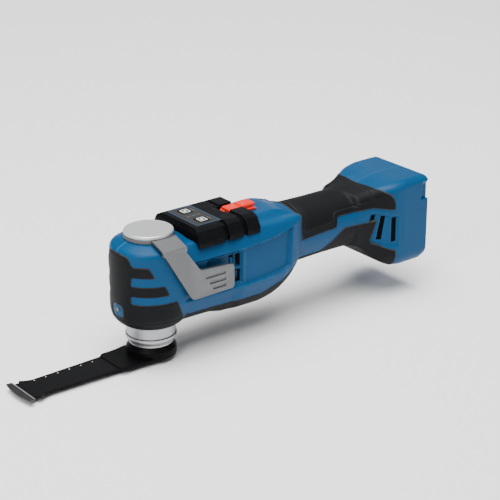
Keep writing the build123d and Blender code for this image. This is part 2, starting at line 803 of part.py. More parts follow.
coil_wall = 2.0
coil_overhang = 3.5
coil_inner = stator_bore + 1.8
coil_outer = stator_radius - yoke - 1.0
with BuildPart() as stator_windings:
    with BuildSketch(motor_plane(stator_front - coil_overhang)):
        with PolarLocations(0, slot_count):
            with Locations(((coil_inner + coil_outer) / 2, 0)):
                Rectangle(coil_outer - coil_inner, tooth_width + 2 * coil_wall)
    extrude(amount=stator_rear - stator_front + 2 * coil_overhang)
    with BuildSketch(motor_plane(stator_front - 0.2)):
        with PolarLocations(0, slot_count):
            with Locations(((coil_inner + coil_outer) / 2, 0)):
                Rectangle(coil_outer - coil_inner + 2, tooth_width + 0.3)
    extrude(amount=stator_rear - stator_front + 0.4, mode=Mode.SUBTRACT)
part_of(stator_windings, "stator_windings")

fan_front = nose_end + 2.0
fan_blades = 9
with BuildPart() as cooling_fan:
    add(disc(motor_plane(fan_front), fan_radius, 1.2))
    add(disc(motor_plane(fan_front), 5.5, 7.5))
    with BuildSketch(motor_plane(fan_front + 1.2)):
        with PolarLocations(0, fan_blades):
            with Locations((11.8, 0)):
                Rectangle(13.0, 1.0, rotation=18)
    extrude(amount=6.0)
    add(disc(motor_plane(0), shaft_radius + 0.01, 100), mode=Mode.SUBTRACT)
part_of(cooling_fan, "cooling_fan")

end_cap_front = rear_start - 2.0
with BuildPart() as motor_end_cap:
    add(disc(motor_plane(end_cap_front), stator_radius, rear_end + 1 - end_cap_front))
    add(disc(motor_plane(rear_start), rear_outer + running_gap, 20), mode=Mode.SUBTRACT)
    add(disc(motor_plane(0), shaft_radius + 1.5, 120), mode=Mode.SUBTRACT)
    with BuildSketch(motor_plane(end_cap_front)):
        with PolarLocations(15.4, slot_count):
            Circle(2.6)
    extrude(amount=20, mode=Mode.SUBTRACT)
part_of(motor_end_cap, "motor_end_cap")

with BuildPart() as motor_posts:
    with BuildSketch(motor_plane(stator_rear)):
        with PolarLocations(stator_radius - yoke / 2, slot_count, start_angle=30):
            Circle(1.2)
    extrude(amount=end_cap_front - stator_rear)
part_of(motor_posts, "motor_posts")

# Saddle with the control panel, its keys and their board
lobe_section = mirrored([
    (19.5, saddle_top), (24.0, saddle_top - 2.2), (28.0, 75.5), (27.4, 71.0),
])
deck_section = mirrored([
    (19.0, saddle_top - 1.3), (23.0, saddle_top - 3.4), (26.6, 75.5), (26.2, 72.0),
])
key_places = ((key_x, -key_offset), (key_x, key_offset))
board_foot = 78.4
board_sheet = 1.6
panel_well_half = panel_half - 2.0
slider_room = slider_half + part_gap + 0.2
with BuildPart() as saddle:
    for front, rear in saddle_lobes:
        with BuildSketch(Plane.YZ.offset(front)):
            Polygon(*lobe_section, align=None)
        extrude(amount=rear - front)
    with BuildSketch(Plane.YZ.offset(saddle_front + 2)):
        Polygon(*deck_section, align=None)
    extrude(amount=saddle_lobes[-1][1] - saddle_front - 2)
    add(side_prism([(0, 60), (30, 60), (saddle_front, 70), (saddle_front, 80.5),
                    (saddle_front + 4.5, 95), (0, 95)], -60, 60), mode=Mode.SUBTRACT)
    add(outer_form, mode=Mode.SUBTRACT)
    add(block((panel_front - part_gap, -panel_half - part_gap, saddle_top - panel_sheet),
              (panel_rear + part_gap, panel_half + part_gap, 99)), mode=Mode.SUBTRACT)
    add(block((panel_front + 2, -panel_well_half, board_foot),
              (panel_rear - 2, panel_well_half, 99)), mode=Mode.SUBTRACT)
    add(block((slider_front - slider_stroke - 1, -slider_room, hump_top), (99, slider_room, 99)),
        mode=Mode.SUBTRACT)
part_of(saddle, "saddle")

key_room = key_size + 2 * key_gap
with BuildPart() as control_panel:
    add(block((panel_front, -panel_half, saddle_top - panel_sheet),
              (panel_rear, panel_half, saddle_top + 0.2)))
    with BuildSketch(spindle_plane(80)):
        with Locations(*key_places):
            Rectangle(key_room, key_room)
    extrude(amount=10, mode=Mode.SUBTRACT)
part_of(control_panel, "control_panel")

with BuildPart() as key_board:
    add(block((panel_front + 2 + seat_gap, -panel_well_half + seat_gap, board_foot),
              (panel_rear - 2 - seat_gap, panel_well_half - seat_gap, board_foot + board_sheet)))
part_of(key_board, "key_board")

for name, (x, y) in zip(("speed_key", "mode_key"), key_places):
    with BuildPart() as key:
        with BuildSketch(spindle_plane(key_foot)):
            with Locations((x, y)):
                Rectangle(key_size, key_size)
        extrude(amount=key_top - key_foot)
        chamfer(key.faces().sort_by(Axis.Z)[-1].edges(), length=0.4)
    part_of(key, name)

# Slide switch and the switch module under it
slider_foot = hump_top + 0.25
slider_outline = [
    (slider_front, slider_foot), (slider_rear, slider_foot), (slider_rear, slider_foot + 1.0),
    (slider_rear - 3, slider_foot + 1.9), (slider_front + 12, slider_foot + 2.2),
    (slider_front + 8, slider_foot + 3.4), (slider_front + 2, slider_foot + 3.2),
    (slider_front, slider_foot + 1.6),
]
with BuildPart() as power_slider:
    add(side_prism(slider_outline, -slider_half, slider_half))
    add(block((stem_front, -stem_half, stem_foot), (stem_rear, stem_half, slider_foot + 0.5)))
part_of(power_slider, "power_slider")

with BuildPart() as switch_module:
    add(block((module_front, -module_half, module_foot), (module_rear, module_half, stem_foot - 0.5)))
part_of(switch_module, "switch_module")

# Electronics in the handle and the dock
board_front = 124.0
board_rear = 190.0
board_level = 45.0
handle_cavity = handle_radius - wall
board_half = (handle_cavity ** 2 - (handle_axis - board_level) ** 2) ** 0.5 - 0.35
lead_radius = 1.2
with BuildPart() as control_board:
    add(block((board_front, -board_half, board_level), (board_rear, board_half, board_level + board_sheet)))
part_of(control_board, "control_board")

with BuildPart() as heat_sink:
    add(block((134.0, -11.0, board_level + board_sheet), (166.0, 11.0, board_level + board_sheet + 3)))
    with BuildSketch(spindle_plane(board_level + board_sheet + 3)):
        with Locations((150.0, 0)):
            with GridLocations(0, 3.0, 1, 8):
                Rectangle(32.0, 1.0)
    extrude(amount=8.0)
part_of(heat_sink, "heat_sink")

with BuildPart() as capacitor:
    with BuildSketch(Plane(origin=(169.0, 0, board_level + board_sheet + 6.2), x_dir=(0, 1, 0),
                           z_dir=(1, 0, 0))):
        Circle(6.1)
    extrude(amount=18.0)
part_of(capacitor, "capacitor")


def lead_group(name, front, rear, offsets):
    """Straight insulated leads that lie on the control board."""
    level = board_level + board_sheet + lead_radius + 0.1
    with BuildPart() as leads:
        with BuildSketch(Plane(origin=(front, 0, level), x_dir=(0, 1, 0), z_dir=(1, 0, 0))):
            with Locations(*[(y, 0) for y in offsets]):
                Circle(lead_radius)
        extrude(amount=rear - front)
    part_of(leads, name)


frame_front = 226.0
frame_sheet = 3.0
rail_depth = 7.0
rail_half = dock_half - wall - 1.0
rail_levels = ((dock_bottom + wall + 5.0, dock_bottom + wall + 9.0), (dock_top - 18.0, dock_top - 14.0))
terminal_low = 40.0
terminal_high = 50.0
lead_group("motor_leads", rear_end + 1.2, board_front + 6, (-5.0, 0, 5.0))
lead_group("battery_leads", board_rear - 10, frame_front - 10.1, (-9.0, 9.0))

with BuildPart() as dock_frame:
    add(block((frame_front, -dock_half + wall + seat_gap, dock_bottom + wall + seat_gap),
              (frame_front + frame_sheet, dock_half - wall - seat_gap, dock_top - wall - 3.0 - seat_gap)))
    for low, high in rail_levels:
        add(block((frame_front, -rail_half, low), (frame_front + frame_sheet + rail_depth, rail_half, high)))
    add(block((frame_front - 1, -12.0, terminal_low - seat_gap),
              (frame_front + 9, 12.0, terminal_high + seat_gap)), mode=Mode.SUBTRACT)
part_of(dock_frame, "dock_frame")

with BuildPart() as terminal_block:
    add(block((frame_front - 10, -12.0 + seat_gap, terminal_low),
              (frame_front + frame_sheet, 12.0 - seat_gap, terminal_high)))
    with BuildSketch(Plane.YZ.offset(frame_front - 4)):
        with Locations((0, (terminal_low + terminal_high) / 2)):
            with GridLocations(6.5, 0, 4 - 1, 1):
                Rectangle(1.2, 6.4)
    extrude(amount=20, mode=Mode.SUBTRACT)
part_of(terminal_block, "terminal_block")

with BuildPart() as battery_contacts:
    with BuildSketch(Plane.YZ.offset(frame_front - 4)):
        with Locations((0, (terminal_low + terminal_high) / 2)):
            with GridLocations(6.5, 0, 4 - 1, 1):
                Rectangle(0.8, 6.0)
    extrude(amount=4 + frame_sheet + 5.5)
part_of(battery_contacts, "battery_contacts")

# Work light in the front of the head
with BuildPart() as work_light:
    with BuildSketch(Plane(origin=(-head_radius - 0.2, -1.0, 31.0), x_dir=(0, 1, 0), z_dir=(1, 0, 0))):
        Circle(1.5)
    extrude(amount=2.4)
part_of(work_light, "work_light")
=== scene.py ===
# Looks for the cordless oscillating multi tool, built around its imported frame.
import json
import math

import bmesh
import bpy
import numpy as np
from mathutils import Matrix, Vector


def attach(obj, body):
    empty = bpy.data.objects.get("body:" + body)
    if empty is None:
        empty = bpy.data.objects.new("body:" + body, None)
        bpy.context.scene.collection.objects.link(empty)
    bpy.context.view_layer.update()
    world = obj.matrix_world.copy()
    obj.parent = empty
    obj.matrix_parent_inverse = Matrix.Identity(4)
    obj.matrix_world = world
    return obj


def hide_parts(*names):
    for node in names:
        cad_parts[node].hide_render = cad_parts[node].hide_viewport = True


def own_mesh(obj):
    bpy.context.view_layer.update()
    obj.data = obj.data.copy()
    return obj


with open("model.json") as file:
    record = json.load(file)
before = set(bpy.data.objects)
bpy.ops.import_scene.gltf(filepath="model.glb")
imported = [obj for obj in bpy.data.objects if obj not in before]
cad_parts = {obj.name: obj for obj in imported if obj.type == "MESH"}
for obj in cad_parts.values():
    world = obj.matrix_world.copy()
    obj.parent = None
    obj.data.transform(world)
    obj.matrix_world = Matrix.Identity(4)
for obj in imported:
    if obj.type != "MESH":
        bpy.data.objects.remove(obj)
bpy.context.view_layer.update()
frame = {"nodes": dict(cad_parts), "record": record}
nodes = frame["nodes"]
scene = bpy.context.scene
mm = 0.001
print("frame loaded with", len(nodes), "nodes")


def smoothStep(low, high, value):
    # 0 below low, 1 above high, with a cubic ramp between
    t = np.clip((value - low) / (high - low), 0.0, 1.0)
    return t * t * (3.0 - 2.0 * t)


def softMax(a, b, k):
    # the larger of two values, rounded over a band k wide
    gap = np.maximum(k - np.abs(a - b), 0.0) / k
    return np.maximum(a, b) + gap * gap * k * 0.25


def softMin(a, b, k):
    return -softMax(-a, -b, k)


def along(points, value):
    # smooth curve through (position, height) points, read at value
    xs = np.array([p[0] for p in points], float)
    ys = np.array([p[1] for p in points], float)
    index = np.clip(np.searchsorted(xs, value) - 1, 0, len(xs) - 2)
    slopes = np.gradient(ys, xs)
    width = xs[index + 1] - xs[index]
    t = np.clip((value - xs[index]) / width, 0.0, 1.0)
    a, b = ys[index], ys[index + 1]
    # slopes are held back so that the curve never overshoots its points
    secant = (b - a) / width
    ma = np.where(secant * slopes[index] > 0, np.sign(secant) * np.minimum(
        np.abs(slopes[index]), 3 * np.abs(secant)), 0.0)
    mb = np.where(secant * slopes[index + 1] > 0, np.sign(secant) * np.minimum(
        np.abs(slopes[index + 1]), 3 * np.abs(secant)), 0.0)
    t2, t3 = t * t, t * t * t
    return (a * (2 * t3 - 3 * t2 + 1) + ma * width * (t3 - 2 * t2 + t)
            + b * (3 * t2 - 2 * t3) + mb * width * (t3 - t2))


def outlineDistance(px, pz, outline):
    # distance to a closed outline, below zero inside it
    best = np.full(px.shape, 1e9)
    inside = np.zeros(px.shape, bool)
    corners = list(outline)
    for (ax, az), (bx, bz) in zip(corners, corners[1:] + corners[:1]):
        ex, ez = bx - ax, bz - az
        t = np.clip(((px - ax) * ex + (pz - az) * ez) / (ex * ex + ez * ez), 0.0, 1.0)
        best = np.minimum(best, (px - ax - t * ex) ** 2 + (pz - az - t * ez) ** 2)
        crosses = (az > pz) != (bz > pz)
        reach = ax + (pz - az) * ex / (ez if abs(ez) > 1e-9 else 1e-9)
        inside ^= crosses & (px < reach)
    return np.where(inside, -1.0, 1.0) * np.sqrt(best)


def spacedBy(stops, steps):
    # positions through the stops, with a step length for each stretch
    parts = []
    for (a, b), step in zip(zip(stops, stops[1:]), steps):
        count = max(2, int(round(abs(b - a) / step)) + 1)
        parts.append(np.linspace(a, b, count)[:-1])
    return np.concatenate(parts + [np.array([float(stops[-1])])])


def meshPiece(name, grids, sharpAngle=40.0, closedAcross=False, weld=1e-6):
    # each grid is (points, keep): rows x columns x 3 in millimetres, and which cells stay
    vertices, faces, base = [], [], 0
    for points, keep, flip in grids:
        rows, cols = points.shape[:2]
        ids = np.arange(rows * cols).reshape(rows, cols) + base
        if closedAcross:
            ids = np.concatenate([ids, ids[:, :1]], axis=1)
        a, b, c, d = ids[:-1, :-1], ids[1:, :-1], ids[1:, 1:], ids[:-1, 1:]
        quads = np.stack([a, b, c, d], axis=-1)
        if flip:
            quads = quads[..., ::-1]
        if keep is not None:
            quads = quads[keep]
        vertices.append(points.reshape(-1, 3) * mm)
        faces.append(quads.reshape(-1, 4))
        base += rows * cols
    co = np.concatenate(vertices)
    quads = np.concatenate(faces)
    used = np.unique(quads)
    remap = np.full(len(co), -1)
    remap[used] = np.arange(len(used))
    mesh = bpy.data.meshes.new(name)
    mesh.vertices.add(len(used))
    mesh.vertices.foreach_set("co", co[used].astype(np.float32).ravel())
    flat = remap[quads].astype(np.int32)
    mesh.loops.add(flat.size)
    mesh.loops.foreach_set("vertex_index", flat.ravel())
    mesh.polygons.add(len(flat))
    mesh.polygons.foreach_set("loop_start", np.arange(0, flat.size, 4, dtype=np.int32))
    mesh.update(calc_edges=True)
    mesh.validate()
    work = bmesh.new()
    work.from_mesh(mesh)
    bmesh.ops.remove_doubles(work, verts=work.verts, dist=weld)
    bmesh.ops.dissolve_degenerate(work, edges=work.edges, dist=1e-7)
    work.to_mesh(mesh)
    work.free()
    mesh.polygons.foreach_set("use_smooth", np.ones(len(mesh.polygons), bool))
    mesh.set_sharp_from_angle(angle=math.radians(sharpAngle))
    piece = bpy.data.objects.new(name, mesh)
    scene.collection.objects.link(piece)
    return piece


def turnedPiece(name, profile, sides=160, centre=(0.0, 0.0), sharpAngle=35.0, wave=None):
    # profile points (radius, height) carried round a vertical axis, closed at both ends
    points = np.array(profile, float)
    angles = np.linspace(0, 2 * math.pi, sides, endpoint=False)
    radius = np.repeat(points[:, :1], sides, axis=1)
    height = np.repeat(points[:, 1:2], sides, axis=1)
    if wave is not None:
        radius = radius + wave(radius, height, angles[None, :])
    grid = np.stack([centre[0] + radius * np.cos(angles), centre[1] + radius * np.sin(angles),
                     height], axis=-1)
    return meshPiece(name, [(grid, None, False)], sharpAngle, closedAcross=True)


def roundedProfile(corners, steps=4):
    # each corner is (radius, height, rounding): straight sides with arcs at the corners
    out = []
    count = len(corners)
    for i, (r, z, q) in enumerate(corners):
        if q <= 0 or i in (0, count - 1):
            out.append((r, z))
            continue
        here = np.array([r, z], float)
        back = np.array(corners[i - 1][:2], float) - here
        ahead = np.array(corners[i + 1][:2], float) - here
        lengths = np.linalg.norm(back), np.linalg.norm(ahead)
        cut = min(q, 0.48 * lengths[0], 0.48 * lengths[1])
        start, end = here + back / lengths[0] * cut, here + ahead / lengths[1] * cut
        for t in np.linspace(0, 1, steps + 1):
            out.append(tuple((1 - t) ** 2 * start + 2 * t * (1 - t) * here + t * t * end))
    return out


def finishPiece(piece, body, material, replaced=()):
    piece.data.materials.clear()
    piece.data.materials.append(material)
    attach(piece, body)
    if replaced:
        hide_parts(*replaced)
    return piece


# sizes in millimetres, in the frame's own axes
head = {"radius": 27.7, "foot": 16.0, "crease": 74.5, "crown": 78.7, "crownRadius": 18.3, "round": 1.6}
trunk = {
    "bottom": 12.4, "deck": 75.0, "hump": 79.0, "humpFront": 60.0, "rear": 121.0,
    "halfWidth": [(-9, 22), (0, 27.7), (54, 27.9), (62, 29.4), (100, 29.6), (110, 27.9), (116, 25.2),
                  (122, 21.8)],
    "belly": [(-10, 16), (10, 15.4), (40, 14.8), (50, 12.6), (82, 12.4), (96, 15.6), (108, 22),
              (116, 28), (123, 33)],
    "sill": [(0, 34.6), (62, 34.2), (90, 35.6), (104, 38.2), (112, 43)],
    "ledge": [(0, 62.6), (17, 62.6), (64, 63.0), (88, 65.2), (106, 68.8), (112, 70)],
    "round": 2.2, "ledgeDepth": 2.1, "labelDepth": 0.9, "labelFront": 64.2, "recessEnd": 106.4,
}
handle = {
    "axis": 52.0,
    "radius": [(100, 22.9), (120, 22.6), (150, 22.0), (180, 22.4), (192, 23.2), (210, 24.5)],
}
dock = {
    "rear": 238.0,
    "top": [(176, 72.0), (190, 75.0), (203, 78.2), (216, 79.8), (238, 79.5)],
    "bottom": [(176, 33), (186, 27), (196, 17.8), (205, 12.6), (214, 10.8), (233, 10.8), (238, 13)],
    "halfWidth": [(176, 20.5), (186, 22.4), (193, 25.0), (200, 28.8), (206, 30.9), (214, 31.8), (239, 31.8)],
    "round": 7.0,
}
ventSlots = [(51.6, 37.4, 55.4, 46.6), (56.8, 37.4, 60.7, 46.6), (51.6, 49.0, 55.4, 58.4),
             (56.8, 49.0, 60.7, 58.4)]
leverPocket = [(31.0, 36.2), (62.2, 36.2), (62.2, 60.4), (34.0, 60.4), (31.0, 58.6)]
dockVents = [[(183.4, 38.8), (187.0, 38.8), (191.4, 56.4), (188.0, 56.4)],
             [(192.6, 35.4), (196.4, 35.4), (198.8, 54.6), (195.4, 54.6)],
             [(203.4, 32.8), (207.2, 32.8), (207.2, 52.6), (203.4, 52.6)]]
dockPocket = [(178.6, 34.0), (209.4, 28.6), (209.4, 53.4), (203.0, 54.6), (194.0, 57.2), (187.6, 58.6),
              (185.4, 54.0)]
dockNotch = [(230.8, 61.4), (250.0, 61.4), (250.0, 75.6), (232.4, 75.6)]


def headForm(x, y, z):
    # upright round head: cylinder wall, sloping shoulder, flat crown and rounded foot
    reach = np.sqrt(x * x + y * y)
    r = head["radius"]
    slope = head["crown"] - head["crease"]
    run = r - head["crownRadius"]
    shoulder = (slope * (reach - r) + run * (z - head["crease"])) / math.hypot(slope, run)
    lowFoot = (4.2 * (reach - (r - 2.0)) - 6.0 * (z - 20.2)) / math.hypot(4.2, 6.0)
    highFoot = (4.8 * (reach - r) - 2.0 * (z - 25.0)) / math.hypot(4.8, 2.0)
    form = softMax(reach - r, shoulder, head["round"] * 2)
    form = softMax(form, highFoot, 2.0)
    form = softMax(form, lowFoot, 2.5)
    form = softMax(form, z - head["crown"], 0.6)
    return softMax(form, head["foot"] - z, 1.0)


def flankRecess(x, z):
    # 1 inside the long sunk field on each flank, 0 outside it
    sill, ledge = along(trunk["sill"], x), along(trunk["ledge"], x)
    end = trunk["recessEnd"] + 0.08 * (z - 50.0)
    tall = smoothStep(sill - 0.5, sill + 1.3, z) * (1 - smoothStep(ledge - 1.6, ledge + 0.1, z))
    return tall * smoothStep(8.0, 17.0, x) * (1 - smoothStep(end - 2.2, end, x))


def trunkForm(x, y, z):
    # long rounded box: flanks, upper bevels, lower bevels, deck with its hump and belly
    side = np.abs(y)
    half = along(trunk["halfWidth"], x)
    sill, ledge = along(trunk["sill"], x), along(trunk["ledge"], x)
    belly = along(trunk["belly"], x)
    flank = side - half + trunk["ledgeDepth"] * flankRecess(x, z)
    upper = (11.0 * (side - half) + 5.4 * (z - ledge - 0.6)) / math.hypot(11.0, 5.4)
    lower = (14.0 * (side - half) - 5.6 * (z - sill)) / math.hypot(14.0, 5.6)
    under = (7.0 * (side - half + 4.8) - 9.0 * (z - belly - 6.6)) / math.hypot(7.0, 9.0)
    k = trunk["round"]
    form = softMax(flank, upper, 0.8)
    form = softMax(form, lower, 1.2)
    form = softMax(form, under, 4.0)
    rise = smoothStep(trunk["humpFront"], trunk["humpFront"] + 4, x) * (1 - smoothStep(98.0, 120.0, x))
    hump = (trunk["hump"] - trunk["deck"]) * rise * (1 - smoothStep(12.0, 19.0, side))
    fall = 2.0 * smoothStep(104.0, 122.0, x)
    form = softMax(form, z - trunk["deck"] - hump + fall, k)
    form = softMax(form, belly - z, 3.0)
    form = softMax(form, x - trunk["rear"], 5.0)
    return softMax(form, -9.0 - x, 1.0)


def handleForm(x, y, z):
    # round bar along X
    bar = np.sqrt(y * y + (z - handle["axis"]) ** 2) - along(handle["radius"], x)
    return softMax(bar, np.abs(x - 158.0) - 52.0, 1.0)


def dockForm(x, y, z):
    # rounded box that flares out of the handle
    side = np.abs(y) - along(dock["halfWidth"], x)
    k = dock["round"]
    soft = 3.0 + (k - 3.0) * (1 - smoothStep(206.0, 236.0, x))
    top = z - along(dock["top"], x)
    crown = (side * 5.0 + (top + 1.6) * 6.0) / math.hypot(5.0, 6.0)
    form = softMax(side, top, soft)
    form = softMax(form, crown, 3.0)
    chin = (side * 6.0 - (z - along(dock["bottom"], x) - 4.6) * 5.0) / math.hypot(6.0, 5.0)
    form = softMax(form, along(dock["bottom"], x) - z, k)
    form = softMax(form, chin, 4.0)
    return softMax(form, 176.0 - x, 2.0)


def bodyForm(x, y, z, detailed=True):
    # the four forms joined with small fillets, then the pockets pressed into the sides
    form = softMin(headForm(x, y, z), trunkForm(x, y, z), 0.8)
    form = softMin(form, handleForm(x, y, z), 3.5)
    form = softMin(form, dockForm(x, y, z), 5.0)
    if not detailed:
        return form
    side = np.abs(y)
    flank = smoothStep(20.0, 24.0, side)
    front = trunk["labelFront"]
    press = trunk["labelDepth"] * flankRecess(x, z) * smoothStep(front - 0.6, front + 0.6, x)
    press = press + 2.2 * (1 - smoothStep(-1.1, 0.5, outlineDistance(x, z, leverPocket)))
    for x0, z0, x1, z1 in ventSlots:
        slot = np.maximum(np.abs(x - (x0 + x1) / 2) - (x1 - x0) / 2,
                          np.abs(z - (z0 + z1) / 2) - (z1 - z0) / 2)
        press = press + 3.2 * (1 - smoothStep(-0.9, 0.2, slot))
    pocket = 1.3 * (1 - smoothStep(-1.2, 0.5, outlineDistance(x, z, dockPocket)))
    for outline in dockVents:
        pocket = pocket + 4.2 * (1 - smoothStep(-0.9, 0.2, outlineDistance(x, z, outline)))
    notch = 2.4 * (1 - smoothStep(-0.4, 0.3, outlineDistance(x, z, dockNotch)))
    return form + flank * press + smoothStep(14.0, 18.0, side) * (pocket + notch)


def sliceFrame(turns, lengths):
    # a path that first turns about the spindle from the nose to the near side, then runs back along X
    centreHeight = [(0, 45), (100, 45), (122, 51), (184, 51), (210, 46), (240, 45)]
    angle = np.concatenate([turns, np.full(len(lengths), 1.5 * math.pi)])
    x = np.concatenate([np.zeros(len(turns)), lengths])
    return x, along(centreHeight, x), np.cos(angle), np.sin(angle)


def bodySurface(turns, lengths, rises, detailed=True):
    # for each slice and each rise angle, the first place outwards where the form reaches zero
    x0, z0, across, outward = (v[:, None] for v in sliceFrame(turns, lengths))
    cosRise, sinRise = np.cos(rises)[None, :], np.sin(rises)[None, :]
    dx, dy = across * cosRise, outward * cosRise
    dz = np.broadcast_to(sinRise, dx.shape)
    reach = np.full(dx.shape, 8.0)
    for step in range(60):
        value = bodyForm(x0 + dx * reach, dy * reach, z0 + dz * reach, detailed and step >= 34)
        reach = reach - 0.85 * value
    points = np.stack([x0 + dx * reach, dy * reach, z0 + dz * reach], axis=-1)
    return points


def surfaceNormals(points):
    # steepest way out of the plain form at each point
    x, y, z = points[..., 0], points[..., 1], points[..., 2]
    e = 0.05
    grad = np.stack([bodyForm(x + e, y, z, False) - bodyForm(x - e, y, z, False),
                     bodyForm(x, y + e, z, False) - bodyForm(x, y - e, z, False),
                     bodyForm(x, y, z + e, False) - bodyForm(x, y, z - e, False)], axis=-1)
    return grad / np.maximum(np.linalg.norm(grad, axis=-1, keepdims=True), 1e-9)


def otherSide(points):
    return points * np.array([1.0, -1.0, 1.0])


topRise, bottomRise = math.pi / 2, -math.pi / 2
print("forms ready")


def groupSockets(tree, inputs, outputs):
    for name, kind, value in inputs:
        socket = tree.interface.new_socket(name=name, in_out="INPUT", socket_type=kind)
        socket.default_value = value
    for name, kind in outputs:
        tree.interface.new_socket(name=name, in_out="OUTPUT", socket_type=kind)
    return tree.nodes.new("NodeGroupInput"), tree.nodes.new("NodeGroupOutput")


def makeGrainGroup():
    # fine moulded texture with broad soft unevenness: a height, and a mask for tint and gloss
    tree = bpy.data.node_groups.new("mouldedGrain", "ShaderNodeTree")
    start, end = groupSockets(
        tree, [("Grain Scale", "NodeSocketFloat", 2200.0), ("Cloud Scale", "NodeSocketFloat", 40.0)],
        [("Height", "NodeSocketFloat"), ("Cloud", "NodeSocketFloat")])
    place = tree.nodes.new("ShaderNodeTexCoord")
    fine = tree.nodes.new("ShaderNodeTexNoise")
    fine.inputs["Detail"].default_value = 3.0
    fine.inputs["Roughness"].default_value = 0.65
    cloud = tree.nodes.new("ShaderNodeTexNoise")
    cloud.inputs["Detail"].default_value = 4.0
    for noise, socket in ((fine, "Grain Scale"), (cloud, "Cloud Scale")):
        tree.links.new(place.outputs["Object"], noise.inputs["Vector"])
        tree.links.new(start.outputs[socket], noise.inputs["Scale"])
    tree.links.new(fine.outputs["Fac"], end.inputs["Height"])
    tree.links.new(cloud.outputs["Fac"], end.inputs["Cloud"])
    return tree


def makeWearAndHighlightGroup():
    # outer edges, broken up by noise: 1 where handling has rubbed the edge, and on the black rubber where a
    # painted highlight runs along the edges
    tree = bpy.data.node_groups.new("edgeWearAndHighlight", "ShaderNodeTree")
    start, end = groupSockets(
        tree, [("Low", "NodeSocketFloat", 0.52), ("High", "NodeSocketFloat", 0.60),
               ("Amount", "NodeSocketFloat", 0.5)], [("Mask", "NodeSocketFloat")])
    place = tree.nodes.new("ShaderNodeTexCoord")
    shape = tree.nodes.new("ShaderNodeNewGeometry")
    ramp = tree.nodes.new("ShaderNodeMapRange")
    patch = tree.nodes.new("ShaderNodeTexNoise")
    patch.inputs["Scale"].default_value = 260.0
    patch.inputs["Detail"].default_value = 5.0
    product = tree.nodes.new("ShaderNodeMath")
    product.operation = "MULTIPLY"
    scaled = tree.nodes.new("ShaderNodeMath")
    scaled.operation = "MULTIPLY"
    scaled.use_clamp = True
    tree.links.new(place.outputs["Object"], patch.inputs["Vector"])
    tree.links.new(shape.outputs["Pointiness"], ramp.inputs["Value"])
    tree.links.new(start.outputs["Low"], ramp.inputs["From Min"])
    tree.links.new(start.outputs["High"], ramp.inputs["From Max"])
    tree.links.new(ramp.outputs["Result"], product.inputs[0])
    tree.links.new(patch.outputs["Fac"], product.inputs[1])
    tree.links.new(product.outputs["Value"], scaled.inputs[0])
    tree.links.new(start.outputs["Amount"], scaled.inputs[1])
    tree.links.new(scaled.outputs["Value"], end.inputs["Mask"])
    return tree


def makeBrushGroup():
    # fine turning or grinding lines: noise stretched hard along chosen axes
    tree = bpy.data.node_groups.new("brushLines", "ShaderNodeTree")
    start, end = groupSockets(
        tree, [("Stretch", "NodeSocketVector", (30.0, 30.0, 4000.0))],
        [("Line", "NodeSocketFloat")])
    place = tree.nodes.new("ShaderNodeTexCoord")
    scaled = tree.nodes.new("ShaderNodeVectorMath")
    scaled.operation = "MULTIPLY"
    lines = tree.nodes.new("ShaderNodeTexNoise")
    lines.inputs["Scale"].default_value = 1.0
    lines.inputs["Detail"].default_value = 4.0
    tree.links.new(place.outputs["Object"], scaled.inputs[0])
    tree.links.new(start.outputs["Stretch"], scaled.inputs[1])
    tree.links.new(scaled.outputs["Vector"], lines.inputs["Vector"])
    tree.links.new(lines.outputs["Fac"], end.inputs["Line"])
    return tree


grainGroup, wearAndHighlightGroup, brushGroup = makeGrainGroup(), makeWearAndHighlightGroup(), makeBrushGroup()


def placeGroup(tree, group, **values):
    node = tree.nodes.new("ShaderNodeGroup")
    node.node_tree = group
    for name, value in values.items():
        node.inputs[name.replace("_", " ")].default_value = value
    return node


def mixColour(tree, factor, a, b):
    node = tree.nodes.new("ShaderNodeMix")
    node.data_type = "RGBA"
    tree.links.new(factor, node.inputs["Factor"])
    colours = [s for s in node.inputs if s.type == "RGBA"]
    for socket, value in zip(colours, (a, b)):
        if isinstance(value, tuple):
            socket.default_value = (*value, 1.0)
        else:
            tree.links.new(value, socket)
    return [s for s in node.outputs if s.type == "RGBA"][0]


def spread(tree, value, low, high):
    node = tree.nodes.new("ShaderNodeMapRange")
    node.inputs["To Min"].default_value = low
    node.inputs["To Max"].default_value = high
    tree.links.new(value, node.inputs["Value"])
    return node.outputs["Result"]


def bumpFrom(tree, height, strength, distance):
    node = tree.nodes.new("ShaderNodeBump")
    node.inputs["Strength"].default_value = strength
    node.inputs["Distance"].default_value = distance
    tree.links.new(height, node.inputs["Height"])
    return node.outputs["Normal"]


def newMaterial(name):
    material = bpy.data.materials.new(name)
    material.use_nodes = True
    tree = material.node_tree
    return material, tree, tree.nodes["Principled BSDF"]


def plasticMaterial(name, look):
    # moulded plastic or rubber: grain, cloudy tint, rubbed edges, which on the black rubber are a painted
    # highlight
    material, tree, shader = newMaterial(name)
    grain = placeGroup(tree, grainGroup, Grain_Scale=look["grain"], Cloud_Scale=look.get("cloud", 45.0))
    wearAndHighlight = placeGroup(tree, wearAndHighlightGroup, Low=look.get("wearLow", 0.51), High=look.get("wearHigh", 0.575),
                      Amount=look.get("wearAndHighlight", 0.5))
    body = mixColour(tree, grain.outputs["Cloud"], look["dark"], look["light"])
    # the edge mask mixes in the lighter edge colour: worn edges, and on the black rubber a painted edge
    # highlight
    colour = mixColour(tree, wearAndHighlight.outputs["Mask"], body, look["wornAndLitEdge"])
    tree.links.new(colour, shader.inputs["Base Color"])
    tree.links.new(spread(tree, grain.outputs["Cloud"], *look["rough"]), shader.inputs["Roughness"])
    tree.links.new(bumpFrom(tree, grain.outputs["Height"], look["bump"], 0.00012), shader.inputs["Normal"])
    shader.inputs["Specular IOR Level"].default_value = look.get("gloss", 0.13)
    return material


